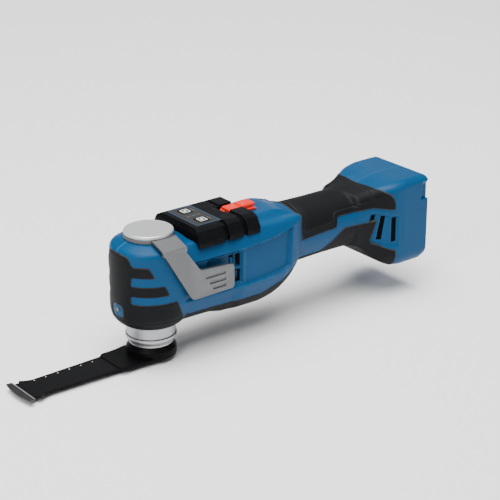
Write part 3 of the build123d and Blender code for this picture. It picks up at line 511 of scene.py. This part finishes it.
def metalMaterial(name, look):
    # metal with turning lines or a blasted skin, and brighter rubbed edges
    material, tree, shader = newMaterial(name)
    lines = placeGroup(tree, brushGroup, Stretch=look["stretch"])
    grain = placeGroup(tree, grainGroup, Grain_Scale=look["grain"], Cloud_Scale=60.0)
    wearAndHighlight = placeGroup(tree, wearAndHighlightGroup, Low=0.52, High=0.60, Amount=look.get("wearAndHighlight", 0.8))
    body = mixColour(tree, lines.outputs["Line"], look["dark"], look["light"])
    colour = mixColour(tree, wearAndHighlight.outputs["Mask"], body, look["wornAndLitEdge"])
    tree.links.new(colour, shader.inputs["Base Color"])
    tree.links.new(spread(tree, lines.outputs["Line"], *look["rough"]), shader.inputs["Roughness"])
    tree.links.new(bumpFrom(tree, grain.outputs["Height"], look["bump"], 0.0001), shader.inputs["Normal"])
    shader.inputs["Metallic"].default_value = look.get("metal", 1.0)
    return material


materialLooks = {
    "blueShell": dict(dark=(0.001, 0.046, 0.123), light=(0.002, 0.057, 0.15), wornAndLitEdge=(0.02, 0.13, 0.27),
                      grain=2600.0, rough=(0.36, 0.46), bump=0.16, wearAndHighlight=0.9),
    # painted highlight: the rubber's light edge colour at full amount stands in for light caught on the
    # rounded edges
    "blackRubber": dict(dark=(0.003, 0.0033, 0.0038), light=(0.0045, 0.0048, 0.0056),
                        wornAndLitEdge=(0.075, 0.08, 0.086), grain=3000.0, rough=(0.52, 0.64), bump=0.3,
                        wearAndHighlight=1.1, gloss=0.12),
    "blackPlastic": dict(dark=(0.0018, 0.002, 0.0024), light=(0.0028, 0.0031, 0.0036),
                         wornAndLitEdge=(0.05, 0.053, 0.058), grain=2400.0, rough=(0.42, 0.54), bump=0.22,
                         wearAndHighlight=0.25, gloss=0.02),
    "glossPanel": dict(dark=(0.002, 0.0022, 0.0026), light=(0.003, 0.0033, 0.0038),
                       wornAndLitEdge=(0.02, 0.02, 0.022), grain=1200.0, rough=(0.16, 0.22), bump=0.02,
                       wearAndHighlight=0.2, gloss=0.3),
    "redPlastic": dict(dark=(0.6, 0.016, 0.008), light=(0.72, 0.024, 0.012), wornAndLitEdge=(0.85, 0.16, 0.1),
                       grain=2200.0, rough=(0.34, 0.42), bump=0.1, wearAndHighlight=0.4),
    "whitePrint": dict(dark=(0.66, 0.67, 0.68), light=(0.78, 0.79, 0.8), wornAndLitEdge=(0.85, 0.85, 0.85),
                       grain=3000.0, rough=(0.42, 0.5), bump=0.05, wearAndHighlight=0.2),
    "greyPrint": dict(dark=(0.09, 0.093, 0.098), light=(0.13, 0.134, 0.14), wornAndLitEdge=(0.2, 0.2, 0.2),
                      grain=3000.0, rough=(0.42, 0.5), bump=0.05, wearAndHighlight=0.2),
    "boardGreen": dict(dark=(0.01, 0.06, 0.025), light=(0.015, 0.09, 0.035), wornAndLitEdge=(0.2, 0.18, 0.05),
                       grain=1500.0, rough=(0.3, 0.4), bump=0.1, wearAndHighlight=0.3),
    "bladeBlack": dict(dark=(0.0022, 0.0023, 0.0026), light=(0.004, 0.0042, 0.0046),
                       wornAndLitEdge=(0.04, 0.04, 0.042), grain=1800.0, rough=(0.34, 0.46), bump=0.14,
                       wearAndHighlight=0.25, gloss=0.05),
}
metalLooks = {
    "castAluminium": dict(dark=(0.125, 0.127, 0.132), light=(0.14, 0.142, 0.147), wornAndLitEdge=(0.5, 0.5, 0.52),
                          stretch=(2600.0, 2600.0, 2600.0), grain=2600.0, rough=(0.45, 0.5), bump=0.4,
                          wearAndHighlight=0.1),
    "machinedAluminium": dict(dark=(0.5, 0.505, 0.515), light=(0.62, 0.625, 0.635),
                              wornAndLitEdge=(0.85, 0.85, 0.87), stretch=(2600.0, 2600.0, 2600.0),
                              grain=2600.0, rough=(0.4, 0.5), bump=0.3, metal=0.75),
    "turnedSteel": dict(dark=(0.36, 0.365, 0.375), light=(0.46, 0.465, 0.475), wornAndLitEdge=(0.85, 0.85, 0.86),
                        stretch=(12.0, 12.0, 5200.0), grain=4000.0, rough=(0.44, 0.56), bump=0.06),
    "toothSteel": dict(dark=(0.02, 0.02, 0.021), light=(0.045, 0.045, 0.047), wornAndLitEdge=(0.14, 0.14, 0.14),
                       stretch=(260.0, 2600.0, 260.0), grain=3000.0, rough=(0.3, 0.42), bump=0.15),
    "copperWire": dict(dark=(0.45, 0.16, 0.06), light=(0.62, 0.26, 0.11), wornAndLitEdge=(0.8, 0.45, 0.25),
                       stretch=(30.0, 2600.0, 2600.0), grain=1800.0, rough=(0.3, 0.4), bump=0.3),
    "lamination": dict(dark=(0.12, 0.12, 0.125), light=(0.2, 0.2, 0.205), wornAndLitEdge=(0.4, 0.4, 0.4),
                       stretch=(5200.0, 20.0, 20.0), grain=2600.0, rough=(0.4, 0.5), bump=0.3),
    "platedBrass": dict(dark=(0.55, 0.42, 0.18), light=(0.7, 0.56, 0.28), wornAndLitEdge=(0.85, 0.75, 0.5),
                        stretch=(40.0, 40.0, 2400.0), grain=2600.0, rough=(0.25, 0.35), bump=0.1),
}
materials = {name: plasticMaterial(name, look) for name, look in materialLooks.items()}
materials.update({name: metalMaterial(name, look) for name, look in metalLooks.items()})


def lensMaterial():
    material, tree, shader = newMaterial("clearLens")
    grain = placeGroup(tree, grainGroup, Grain_Scale=900.0, Cloud_Scale=300.0)
    colour = mixColour(tree, grain.outputs["Cloud"], (0.06, 0.054, 0.036), (0.1, 0.09, 0.06))
    tree.links.new(colour, shader.inputs["Base Color"])
    tree.links.new(spread(tree, grain.outputs["Cloud"], 0.06, 0.14), shader.inputs["Roughness"])
    shader.inputs["Emission Strength"].default_value = 0.01
    tree.links.new(colour, shader.inputs["Emission Color"])
    return material


materials["clearLens"] = lensMaterial()
slotMaterials = {
    "blue_shell": "blueShell", "black_rubber": "blackRubber", "black_plastic": "blackPlastic",
    "red_plastic": "redPlastic", "cast_aluminium": "castAluminium", "bright_steel": "turnedSteel",
    "blade_steel": "bladeBlack", "tooth_steel": "toothSteel", "copper": "copperWire",
    "lamination": "lamination", "board_green": "boardGreen", "clear_lens": "clearLens",
    "contact_metal": "platedBrass",
}
for part in frame["record"]["subparts"]:
    mesh = nodes[part["node"]].data
    mesh.materials.clear()
    mesh.materials.append(materials[slotMaterials[part["material_slot"]]])
print("materials placed on the frame")

# the housing's skin: two halves that meet on the middle plane, each in a front and a rear length
shell = {"wall": 1.4, "seam": 0.4, "rearSeam": 0.05, "frontRear": 119.0, "step": 0.75,
         "lipInset": 3.4, "lipDepth": 12.0, "neckHole": 17.2}


def solidWall(piece, thickness):
    wall = piece.modifiers.new("Solidify", "SOLIDIFY")
    wall.thickness = thickness * mm
    wall.offset = -1.0
    wall.use_rim = True
    return piece


def sinkSeam(points, normals, depthOfSeam, firstRow):
    # the outer columns, and on the nose the first row, dip into a fine parting line
    depth = np.zeros(points.shape[:2])
    depth[:, 0] = depth[:, -1] = depthOfSeam
    if firstRow:
        depth[0, :] = depthOfSeam
    return points - normals * depth[..., None]


def dockLip(points):
    # the rear rim turns in and runs forward inside the mouth: section scaled about its own middle
    last = points[-1]
    middle = np.array([0.0, 0.0, (last[:, 2].max() + last[:, 2].min()) / 2])
    half = np.array([1.0, np.abs(last[:, 1]).max(), (last[:, 2].max() - last[:, 2].min()) / 2])
    rows = []
    end = dock["rear"]
    for inset, x in ((0.0, end - 0.7), (0.15, end - 0.25), (0.5, end), (1.6, end), (2.9, end),
                     (3.25, end - 0.25), (shell["lipInset"], end - 0.7), (shell["lipInset"], end - 4.0),
                     (shell["lipInset"], end - 8.0), (shell["lipInset"], end - shell["lipDepth"])):
        ring = middle + (last - middle) * (1 - inset / half)
        ring[:, 0] = x
        rows.append(ring)
    return np.concatenate([points[:-1], np.stack(rows)])


# screws that hold the halves together, sunk in round wells on the far side
screws = {"places": [(102, 29), (102, 64), (218, 69), (218, 21), (42, 20.2), (42, 69.5), (140, 41),
                     (176, 41)],
          "well": 2.9, "depth": 2.6, "headDepth": 1.9}


def wellDepth(points):
    depth = np.zeros(points.shape[:-1])
    for x, z in screws["places"]:
        reach = np.hypot(points[..., 0] - x, points[..., 2] - z)
        depth = np.maximum(depth, screws["depth"] * (1 - smoothStep(-0.35, 0.35, reach - screws["well"])))
    return depth


def shellHalf(name, points, node, far, keep=None):
    grid = otherSide(points - surfaceNormals(points) * wellDepth(points)[..., None]) if far else points
    piece = meshPiece(name, [(grid, keep, not far)], sharpAngle=50.0)
    solidWall(piece, shell["wall"])
    return finishPiece(piece, "housing", materials["blueShell"], (node,) if node else ())


def makeShells():
    step = shell["step"]
    turns = np.linspace(math.pi, 1.5 * math.pi, int(43.5 / step) + 1)[:-1]
    lengths = spacedBy([0.0, 30.0, 63.0, 106.0, shell["frontRear"]], [step, 0.55, 0.8, 0.6])
    rises = spacedBy([topRise, 0.95, -0.75, bottomRise], [0.016, 0.0145, 0.02])
    front = bodySurface(turns, lengths, rises)
    middles = (front[:-1, :-1] + front[1:, 1:]) / 2
    reach = np.hypot(middles[..., 0], middles[..., 1])
    keep = ~((reach < shell["neckHole"]) & (middles[..., 2] < 24.0))
    front = sinkSeam(front, surfaceNormals(front), shell["seam"], True)
    shellHalf("frontShellNear", front, "housing_left", False, keep)
    shellHalf("frontShellFar", front, "housing_right", True, keep)
    lengths = spacedBy([shell["frontRear"], 176.0, 210.0, 230.0, dock["rear"] - 0.9], [0.9, 0.55, 0.7, 0.55])
    rises = spacedBy([topRise, 0.9, -0.6, bottomRise], [0.02, 0.016, 0.022])
    rear = bodySurface(np.zeros(0), lengths, rises)
    rear = dockLip(sinkSeam(rear, surfaceNormals(rear), shell["rearSeam"], False))
    shellHalf("rearShellNear", rear, None, False)
    shellHalf("rearShellFar", rear, None, True)


makeShells()
print("housing shells made")

# rubber skins: a height above the housing that rounds over and dives in at the skin's outline
skins = {
    "headBoot": {
        "node": "head_boot", "proud": 0.7, "edge": 1.7, "turn": True, "lengths": (0.0, 14.0), "step": 0.5,
        "rises": (0.87, -1.04, 0.0105), "groove": ((23.8, 0.5), (20.4, 0.5)),
        "outline": [(-40, 73.8), (-27, 73.8), (-25.3, 72.4), (-23.9, 65.9), (-15.8, 65.9), (-11.9, 57.5),
                    (-24, 57.5), (-24.4, 51.3), (-5.7, 51.3), (-2.1, 43.5), (-24.4, 43.5), (-24.4, 38),
                    (3.9, 38), (8.7, 27.3), (13, 20.5), (13, 0), (-40, 0)]},
    "bellyGuard": {
        "node": "belly_guard", "proud": 0.5, "edge": 1.0, "turn": False,
        "lengths": (12.5, 117.5), "step": 0.6, "rises": (-0.2, bottomRise, 0.016),
        "outline": [(13.5, 0), (13.5, 24.5), (18, 22.4), (80, 22.2), (96, 27.4), (108, 34.6), (116.5, 37),
                    (116.5, 0)]},
    "handleGrip": {
        "node": "handle_grip", "proud": 0.6, "edge": 0.8, "turn": False, "lengths": (117.5, 206.5),
        "step": 0.45, "rises": (topRise, -0.1, 0.0185),
        "outline": [(118.5, 52.5), (154, 54.2), (156.5, 61.4), (189, 61.7), (205.5, 58.5), (205.5, 64),
                    (203.8, 69.5), (200.4, 73), (195.5, 75.4), (190.5, 76.4), (190.5, 95), (118.5, 95)]},
    "lowerGrip": {
        "node": "lower_grip", "proud": 0.5, "edge": 0.8, "turn": False, "lengths": (116.0, 215.8),
        "step": 0.6, "rises": (0.2, bottomRise, 0.017),
        "outline": [(117, 37), (143, 37), (147, 41.2), (160.8, 52.5), (191.8, 51.9), (186.7, 34.8),
                    (207, 25.6), (207, 0), (117, 0)]},
}
lightWindow = {"halfWidth": 5.8, "low": 25.4, "high": 34.4, "corner": 2.4}


def gripRelief(x, y, z, d):
    # fine ribs at the front, a sunk line inside the edge and a ring before the smooth flange
    ribs = 0.22 * (0.5 - 0.5 * np.cos(2 * math.pi * (x - 120.6) / 1.75)) * smoothStep(120.2, 121.0, x)
    ribs = ribs * (1 - smoothStep(129.0, 129.8, x)) * smoothStep(1.0, 2.0, -d)
    line = 0.5 * np.exp(-((d + 4.4) / 0.5) ** 2) * (1 - smoothStep(184.0, 188.0, x))
    ring = 0.5 * np.exp(-((x - 188.4) / 0.55) ** 2)
    return -(ribs + line + ring)


def bellyRelief(x, y, z, d):
    # cooling ribs across the underside
    under = (1 - smoothStep(13.0, 15.0, np.abs(y))) * (1 - smoothStep(15.5, 17.0, z))
    span = smoothStep(69.5, 70.5, x) * (1 - smoothStep(89.5, 90.5, x))
    return -0.42 * under * span * (0.5 - 0.5 * np.cos(2 * math.pi * (x - 70.0) / 3.4))


def skinPiece(name, relief=None):
    # height = proud x quarter round of the inset from the outline, minus a dive outside it
    look = skins[name]
    turns = np.zeros(0)
    if look["turn"]:
        turns = np.linspace(math.pi, 1.5 * math.pi, int(43.5 / look["step"]) + 1)[:-1]
    lengths = spacedBy(look["lengths"], [look["step"]])
    first, last, rise = look["rises"]
    base = bodySurface(turns, lengths, spacedBy([first, last], [rise]), detailed=False)
    x, y, z = base[..., 0], base[..., 1], base[..., 2]
    d = outlineDistance(x, z, look["outline"])
    if name == "headBoot":
        halfHeight = (lightWindow["high"] - lightWindow["low"]) / 2
        overY = np.maximum(np.abs(y) - lightWindow["halfWidth"] + lightWindow["corner"], 0.0)
        overZ = np.abs(z - lightWindow["low"] - halfHeight) - halfHeight + lightWindow["corner"]
        overZ = np.maximum(overZ, 0.0)
        window = np.hypot(overY, overZ) - lightWindow["corner"]
        d = np.where(x < -15, np.maximum(d, -window), d)
    inset = np.clip(-d / look["edge"], 0.0, 1.0)
    height = look["proud"] * np.sqrt(1 - (1 - inset) ** 2) - 1.1 * smoothStep(-0.1, 0.45, d)
    for level, width in look.get("groove", ()):
        height = height - 0.5 * np.exp(-((z - level) / width) ** 2) * (d < 0)
    if relief is not None:
        height = height + relief(x, y, z, d)
    normals = surfaceNormals(base)
    points = base + normals * height[..., None]
    farPoints = otherSide(base + normals * (height - wellDepth(base))[..., None])
    middle = (d[:-1, :-1] + d[1:, :-1] + d[:-1, 1:] + d[1:, 1:]) / 4
    keep = middle < 0.5
    piece = meshPiece(name, [(points, keep, True), (farPoints, keep, False)], sharpAngle=65.0)
    solidWall(piece, 0.9)
    return finishPiece(piece, "housing", materials["blackRubber"], (look["node"],))


skinPiece("headBoot")
skinPiece("bellyGuard", bellyRelief)
skinPiece("handleGrip", gripRelief)
skinPiece("lowerGrip")
print("rubber skins made")

# dark ribbed sheets at the bottom of the air slots: painted shade standing in for the dark depth of the open
# slots
slotShade = {"margin": 0.1, "rib": 0.08, "pitch": 1.5}


def makeSlotShade():
    grids = []
    spans = (((50.5, 61.8), 2.45, ventSlots), ((182.0, 209.0), 1.75, dockVents))
    for (x0, x1), depth, outlines in spans:
        base = bodySurface(np.zeros(0), spacedBy([x0, x1], [0.3]), spacedBy([0.62, -0.62], [0.011]), False)
        x, z = base[..., 0], base[..., 2]
        d = np.full(x.shape, 9.0)
        for item in outlines:
            if not isinstance(item[0], tuple):
                a, b, c, e = item
                item = [(a, b), (c, b), (c, e), (a, e)]
            d = np.minimum(d, outlineDistance(x, z, item))
        ribs = slotShade["rib"] * np.cos(2 * math.pi * z / slotShade["pitch"])
        points = base - surfaceNormals(base) * (depth + ribs)[..., None]
        keep = ((d[:-1, :-1] + d[1:, 1:]) / 2) < slotShade["margin"]
        grids += [(points, keep, True), (otherSide(points), keep, False)]
    piece = meshPiece("slotShadeSheets", grids)
    solidWall(piece, 0.6)
    finishPiece(piece, "housing", materials["blackPlastic"])


makeSlotShade()

# turned pieces: profile corners are (radius, height, rounding)
turned = {
    "neckCollar": dict(
        node="neck_collar", body="housing", slot="bright_steel", look="turnedSteel",
        corners=[(15.2, 24.0, 0), (17.6, 24.0, 0.2), (17.6, 6.8, 0.3), (17.2, 6.4, 0.1), (15.2, 6.4, 0)]),
    "toolHolder": dict(
        node="tool_holder", body="spindle_assembly", slot="bright_steel", look="turnedSteel", keepNode=True,
        corners=[(12.6, 0.02, 0), (15.6, 0.0, 0.25), (16.1, 0.5, 0.3), (16.2, 1.4, 0.3), (18.3, 4.2, 0.5),
                 (18.3, 6.0, 0.4), (17.8, 6.2, 0.2), (12.6, 6.2, 0)]),
}


def makeTurned():
    for name, look in turned.items():
        profile = roundedProfile(look["corners"])
        profile.append(profile[0])
        piece = turnedPiece(name, profile, sides=192)
        replaced = () if look.get("keepNode") else (look["node"],)
        finishPiece(piece, look["body"], materials[look["look"]], replaced)


# weld and flat face in metres and square metres, merge in degrees, fold in radians
copied = {"weld": 2e-6, "flatFace": 1.2e-5, "merge": 0.8, "fold": 0.09, "weight": 80}


def refinedCopy(node, name, body, look, width, segments=3, angle=32.0):
    # the frame's own solid with its loose triangles merged and every edge softly rounded
    mesh = nodes[node].data.copy()
    mesh.name = name
    work = bmesh.new()
    work.from_mesh(mesh)
    bmesh.ops.remove_doubles(work, verts=work.verts, dist=copied["weld"])
    bmesh.ops.dissolve_limit(work, angle_limit=math.radians(copied["merge"]), verts=work.verts,
                             edges=work.edges)
    for edge in work.edges:
        areas = [face.calc_area() for face in edge.link_faces]
        if len(areas) == 2 and min(areas) > copied["flatFace"] and edge.calc_face_angle() > copied["fold"]:
            edge.smooth = False
    work.to_mesh(mesh)
    work.free()
    mesh.polygons.foreach_set("use_smooth", np.ones(len(mesh.polygons), bool))
    piece = bpy.data.objects.new(name, mesh)
    scene.collection.objects.link(piece)
    bevel = piece.modifiers.new("Bevel", "BEVEL")
    bevel.width = width * mm
    bevel.segments = segments
    bevel.limit_method = "ANGLE"
    bevel.angle_limit = math.radians(angle)
    even = piece.modifiers.new("WeightedNormal", "WEIGHTED_NORMAL")
    even.weight = copied["weight"]
    even.keep_sharp = True
    return finishPiece(piece, body, materials[look], (node,))


# node: piece name, body, slot, material, edge radius in millimetres
refined = {
    "release_lever": ("releaseLever", "lever", "cast_aluminium", "castAluminium", 0.45),
    "lever_cap": ("leverCap", "lever", "cast_aluminium", "machinedAluminium", 0.7),
    "saddle": ("saddle", "housing", "black_plastic", "blackPlastic", 0.9),
    "control_panel": ("controlPanel", "housing", "black_plastic", "glossPanel", 0.3),
    "speed_key": ("speedKey", "speed_key", "black_plastic", "glossPanel", 0.25),
    "mode_key": ("modeKey", "mode_key", "black_plastic", "glossPanel", 0.25),
    "power_slider": ("powerSlider", "slider", "red_plastic", "redPlastic", 0.5),
    "blade_cup": ("bladeCup", "blade", "blade_steel", "bladeBlack", 0.2),
    "blade_plate": ("bladePlate", "blade", "blade_steel", "bladeBlack", 0.12),
    "dock_frame": ("dockFrame", "housing", "black_plastic", "blackPlastic", 0.35),
    "terminal_block": ("terminalBlock", "housing", "black_plastic", "blackPlastic", 0.3),
}


def makeScrewHeads():
    # (radius, depth under the rim) from the edge in to a six-lobed socket, turned about Y
    profile = np.array([(2.5, 1.6), (2.5, 0.3), (2.2, 0.0), (1.45, 0.0), (1.3, 0.15), (1.2, 1.1),
                        (0.01, 1.1)])
    angles = np.linspace(0, 2 * math.pi, 48, endpoint=False)
    grids = []
    for x, z in screws["places"]:
        y = 10.0 + np.arange(0.0, 30.0, 0.02)
        outside = bodyForm(np.full(y.shape, float(x)), y, np.full(y.shape, float(z)), False) > 0
        surface = y[np.argmax(outside)]
        radius = np.repeat(profile[:, :1], 48, axis=1)
        socket = (radius < 1.4) & (radius > 0.1)
        radius = radius * np.where(socket, 1 + 0.16 * np.cos(6 * angles), 1.0)
        height = surface - screws["headDepth"] - np.repeat(profile[:, 1:], 48, axis=1)
        grids.append(np.stack([x + radius * np.cos(angles), height, z + radius * np.sin(angles)], axis=-1))
    piece = meshPiece("screwHeads", [(grid, None, True) for grid in grids], 30.0, closedAcross=True)
    finishPiece(piece, "housing", materials["toothSteel"])


def makeSpring():
    # the frame's coil, welded and smooth shaded; its heights are read but left as they are
    mesh = nodes["release_spring"].data.copy()
    mesh.name = "releaseSpring"
    work = bmesh.new()
    work.from_mesh(mesh)
    bmesh.ops.remove_doubles(work, verts=work.verts, dist=copied["weld"])
    work.to_mesh(mesh)
    work.free()
    heights = np.empty(len(mesh.vertices) * 3, np.float32)
    mesh.vertices.foreach_get("co", heights)
    mesh.polygons.foreach_set("use_smooth", np.ones(len(mesh.polygons), bool))
    piece = bpy.data.objects.new("releaseSpring", mesh)
    scene.collection.objects.link(piece)
    finishPiece(piece, "housing", materials["turnedSteel"], ("release_spring",))
    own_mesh(piece)


makeTurned()
makeSpring()
makeScrewHeads()
for node, (name, body, slot, look, width) in refined.items():
    refinedCopy(node, name, body, look, width)
print("turned and rounded pieces made")


def rimPoints(halfX, halfY, corner, steps=7):
    # rounded rectangle about the origin, as one closed ring
    out = []
    for sx, sy, start in ((1, 1, 0.0), (-1, 1, 0.5), (-1, -1, 1.0), (1, -1, 1.5)):
        t = (start + np.linspace(0, 0.5, steps)) * math.pi
        out.append(np.stack([sx * (halfX - corner) + corner * np.cos(t),
                             sy * (halfY - corner) + corner * np.sin(t)], axis=-1))
    return np.concatenate(out)


def plateGrid(x, y, halfX, halfY, corner, low, high, bevel=0.08):
    # rings from the bottom middle, out, up, over the bevelled edge and in to the top middle
    rings = []
    for inset, z in ((None, low), (0.0, low), (0.0, high - bevel), (bevel, high), (None, high)):
        if inset is None:
            ring = rimPoints(halfX, halfY, corner) * 0.001
        else:
            ring = rimPoints(halfX - inset, halfY - inset, max(corner - inset, 0.02))
        rings.append(np.column_stack([ring[:, 0] + x, ring[:, 1] + y, np.full(len(ring), z)]))
    return np.stack(rings)


def frameGrid(x, y, halfX, halfY, corner, width, low, high):
    # closed strip round a rounded rectangle
    rings = []
    for inset, z in ((0.0, low), (0.0, high), (width, high), (width, low), (0.0, low)):
        ring = rimPoints(halfX - inset, halfY - inset, max(corner - inset, 0.05))
        rings.append(np.column_stack([ring[:, 0] + x, ring[:, 1] + y, np.full(len(ring), z)]))
    return np.stack(rings)


def inlay(name, grids, body, look):
    piece = meshPiece(name, [(grid, None, False) for grid in grids], sharpAngle=30.0, closedAcross=True)
    return finishPiece(piece, body, materials[look])


# control panel marks and key faces: flat generic shapes only
panelMarks = {"x": 38.5, "top": 84.7, "frameHalfX": 9.9, "frameHalfY": 18.0, "keyOffset": 10.0,
              "keyTop": 85.0}


def makePanelMarks():
    x, top, key = panelMarks["x"], panelMarks["top"], panelMarks["keyTop"]
    inlay("panelBorder", [frameGrid(x, 0.0, panelMarks["frameHalfX"], panelMarks["frameHalfY"], 2.2, 0.45,
                                    top - 0.1, top + 0.06)], "housing", "blueShell")
    for name, body, side in (("speedKeyFace", "speed_key", -1), ("modeKeyFace", "mode_key", 1)):
        y = side * panelMarks["keyOffset"]
        inlay(name, [frameGrid(x, y, 3.1, 3.1, 0.9, 0.65, key - 0.1, key + 0.07),
                     plateGrid(x, y, 1.1, 1.1, 0.4, key - 0.1, key + 0.07)],
               body, "whitePrint")
    dashes = [plateGrid(x + 6.4, side * 10.0 + step * 1.7, 0.35, 0.55, 0.15, top - 0.1, top + 0.05, 0.03)
              for side in (-1, 1) for step in (-1, 0, 1)]
    dashes += [plateGrid(x + step * 2.4, 0.0, 0.7, 0.35, 0.15, top - 0.1, top + 0.05, 0.03)
               for step in (-2, -1, 0, 1, 2)]
    inlay("panelDashes", dashes, "housing", "greyPrint")


makePanelMarks()

# stepped cap on the slide switch
inlay("sliderCap", [plateGrid(71.9, 0.0, 5.2, 5.0, 1.2, 82.0, 83.7, 0.6),
                    plateGrid(84.0, 0.0, 6.4, 5.0, 1.2, 82.0, 84.5, 0.9),
                    plateGrid(77.4, 0.0, 0.45, 4.6, 0.4, 82.0, 83.1, 0.3)],
       "slider", "redPlastic")

# blade marks: a row of light dots and the bright weld behind the toothed strip
bladeMarks = {"top": -8.4, "dots": (-91.4, -82.3, -72.7, -63.3, -53.9, -44.3), "dotY": 9.0, "weld": -105.6}


def makeBladeMarks():
    top = bladeMarks["top"]
    dots = [plateGrid(x, bladeMarks["dotY"], 0.42, 0.42, 0.4, top - 0.05, top + 0.04, 0.02)
            for x in bladeMarks["dots"]]
    inlay("bladeDots", dots, "blade", "whitePrint")
    inlay("bladeWeld", [plateGrid(bladeMarks["weld"], 0.0, 0.4, 15.2, 0.4, top - 0.1, top + 0.12, 0.08)],
          "blade", "turnedSteel")


makeBladeMarks()

# thicker mounting plate that ends in a step ahead of the thin blade
shankOutline = [(-35.6, -11.9), (-35.6, 11.9), (-33.2, 14.8), (-22.0, 15.0), (-13.0, 16.6), (-8.0, 15.9),
                (-8.0, -15.9), (-13.0, -16.6), (-22.0, -15.0), (-33.2, -14.8)]


def prismGrid(outline, low, high, bevel):
    # rings of one outline, scaled about its middle: bottom, wall, bevelled edge and top
    ring = np.array(outline[::-1], float)
    middle = ring.mean(axis=0)
    half = np.abs(ring - middle).max(axis=0)
    rings = []
    for inset, z in ((None, low), (0.0, low), (0.0, high - bevel), (bevel, high), (None, high)):
        scale = np.array([0.001, 0.001]) if inset is None else 1 - inset / half
        flat = middle + (ring - middle) * scale
        rings.append(np.column_stack([flat, np.full(len(flat), z)]))
    return np.stack(rings)


inlay("bladeShank", [prismGrid(shankOutline, -8.5, -7.75, 0.2)], "blade", "bladeBlack")
print("marks and inlays made")

# floor, light and camera
stage = {
    "floorHeight": -0.0135, "floorSize": 30.0,
    "camera": (-0.5847, -0.8605, 0.4906), "toward": (0.571, 0.729, -0.377), "lens": 115.96, "skyPower": 5.0,
    "lights": {
        "top": dict(place=(0.1, 0.15, 1.0), size=0.9, power=9.0),
        "left": dict(place=(-0.9, -0.45, 0.7), size=0.4, power=6.5),
        "right": dict(place=(0.75, -0.9, 0.8), size=0.35, power=1.2),
        "back": dict(place=(0.86, 1.1, 0.62), size=0.9, power=1.2),
    },
}


def makeStage():
    half = stage["floorSize"] / 2
    z = stage["floorHeight"]
    mesh = bpy.data.meshes.new("floor")
    mesh.from_pydata([(-half, -half, z), (half, -half, z), (half, half, z), (-half, half, z)], [],
                     [(0, 1, 2, 3)])
    floor = bpy.data.objects.new("floor", mesh)
    scene.collection.objects.link(floor)
    material, tree, shader = newMaterial("paleFloor")
    grain = placeGroup(tree, grainGroup, Grain_Scale=60.0, Cloud_Scale=3.0)
    colour = mixColour(tree, grain.outputs["Cloud"], (0.86, 0.86, 0.865), (0.9, 0.9, 0.9))
    tree.links.new(colour, shader.inputs["Base Color"])
    shader.inputs["Roughness"].default_value = 0.9
    mesh.materials.append(material)
    world = bpy.data.worlds.new("studio")
    scene.world = world
    world.use_nodes = True
    background = world.node_tree.nodes["Background"]
    background.inputs["Color"].default_value = (0.93, 0.95, 1.0, 1.0)
    background.inputs["Strength"].default_value = 0.14
    sky = bpy.data.lights.new("sky", "SUN")
    sky.energy = stage["skyPower"]
    sky.angle = math.radians(50.0)
    high = bpy.data.objects.new("sky", sky)
    high.rotation_euler = (math.radians(10.0), math.radians(-8.0), 0.0)
    scene.collection.objects.link(high)
    for name, look in stage["lights"].items():
        data = bpy.data.lights.new(name, "AREA")
        data.shape = "DISK"
        data.size = look["size"]
        data.energy = look["power"]
        lamp = bpy.data.objects.new(name, data)
        lamp.location = look["place"]
        aim = Vector((0.06, 0.0, 0.04)) - Vector(look["place"])
        lamp.rotation_euler = aim.to_track_quat("-Z", "Y").to_euler()
        scene.collection.objects.link(lamp)
    data = bpy.data.cameras.new("viewpoint")
    data.lens = stage["lens"]
    data.sensor_width = 36.0
    camera = bpy.data.objects.new("viewpoint", data)
    camera.location = stage["camera"]
    camera.rotation_euler = Vector(stage["toward"]).to_track_quat("-Z", "Y").to_euler()
    scene.collection.objects.link(camera)
    scene.camera = camera


makeStage()
print("stage set")
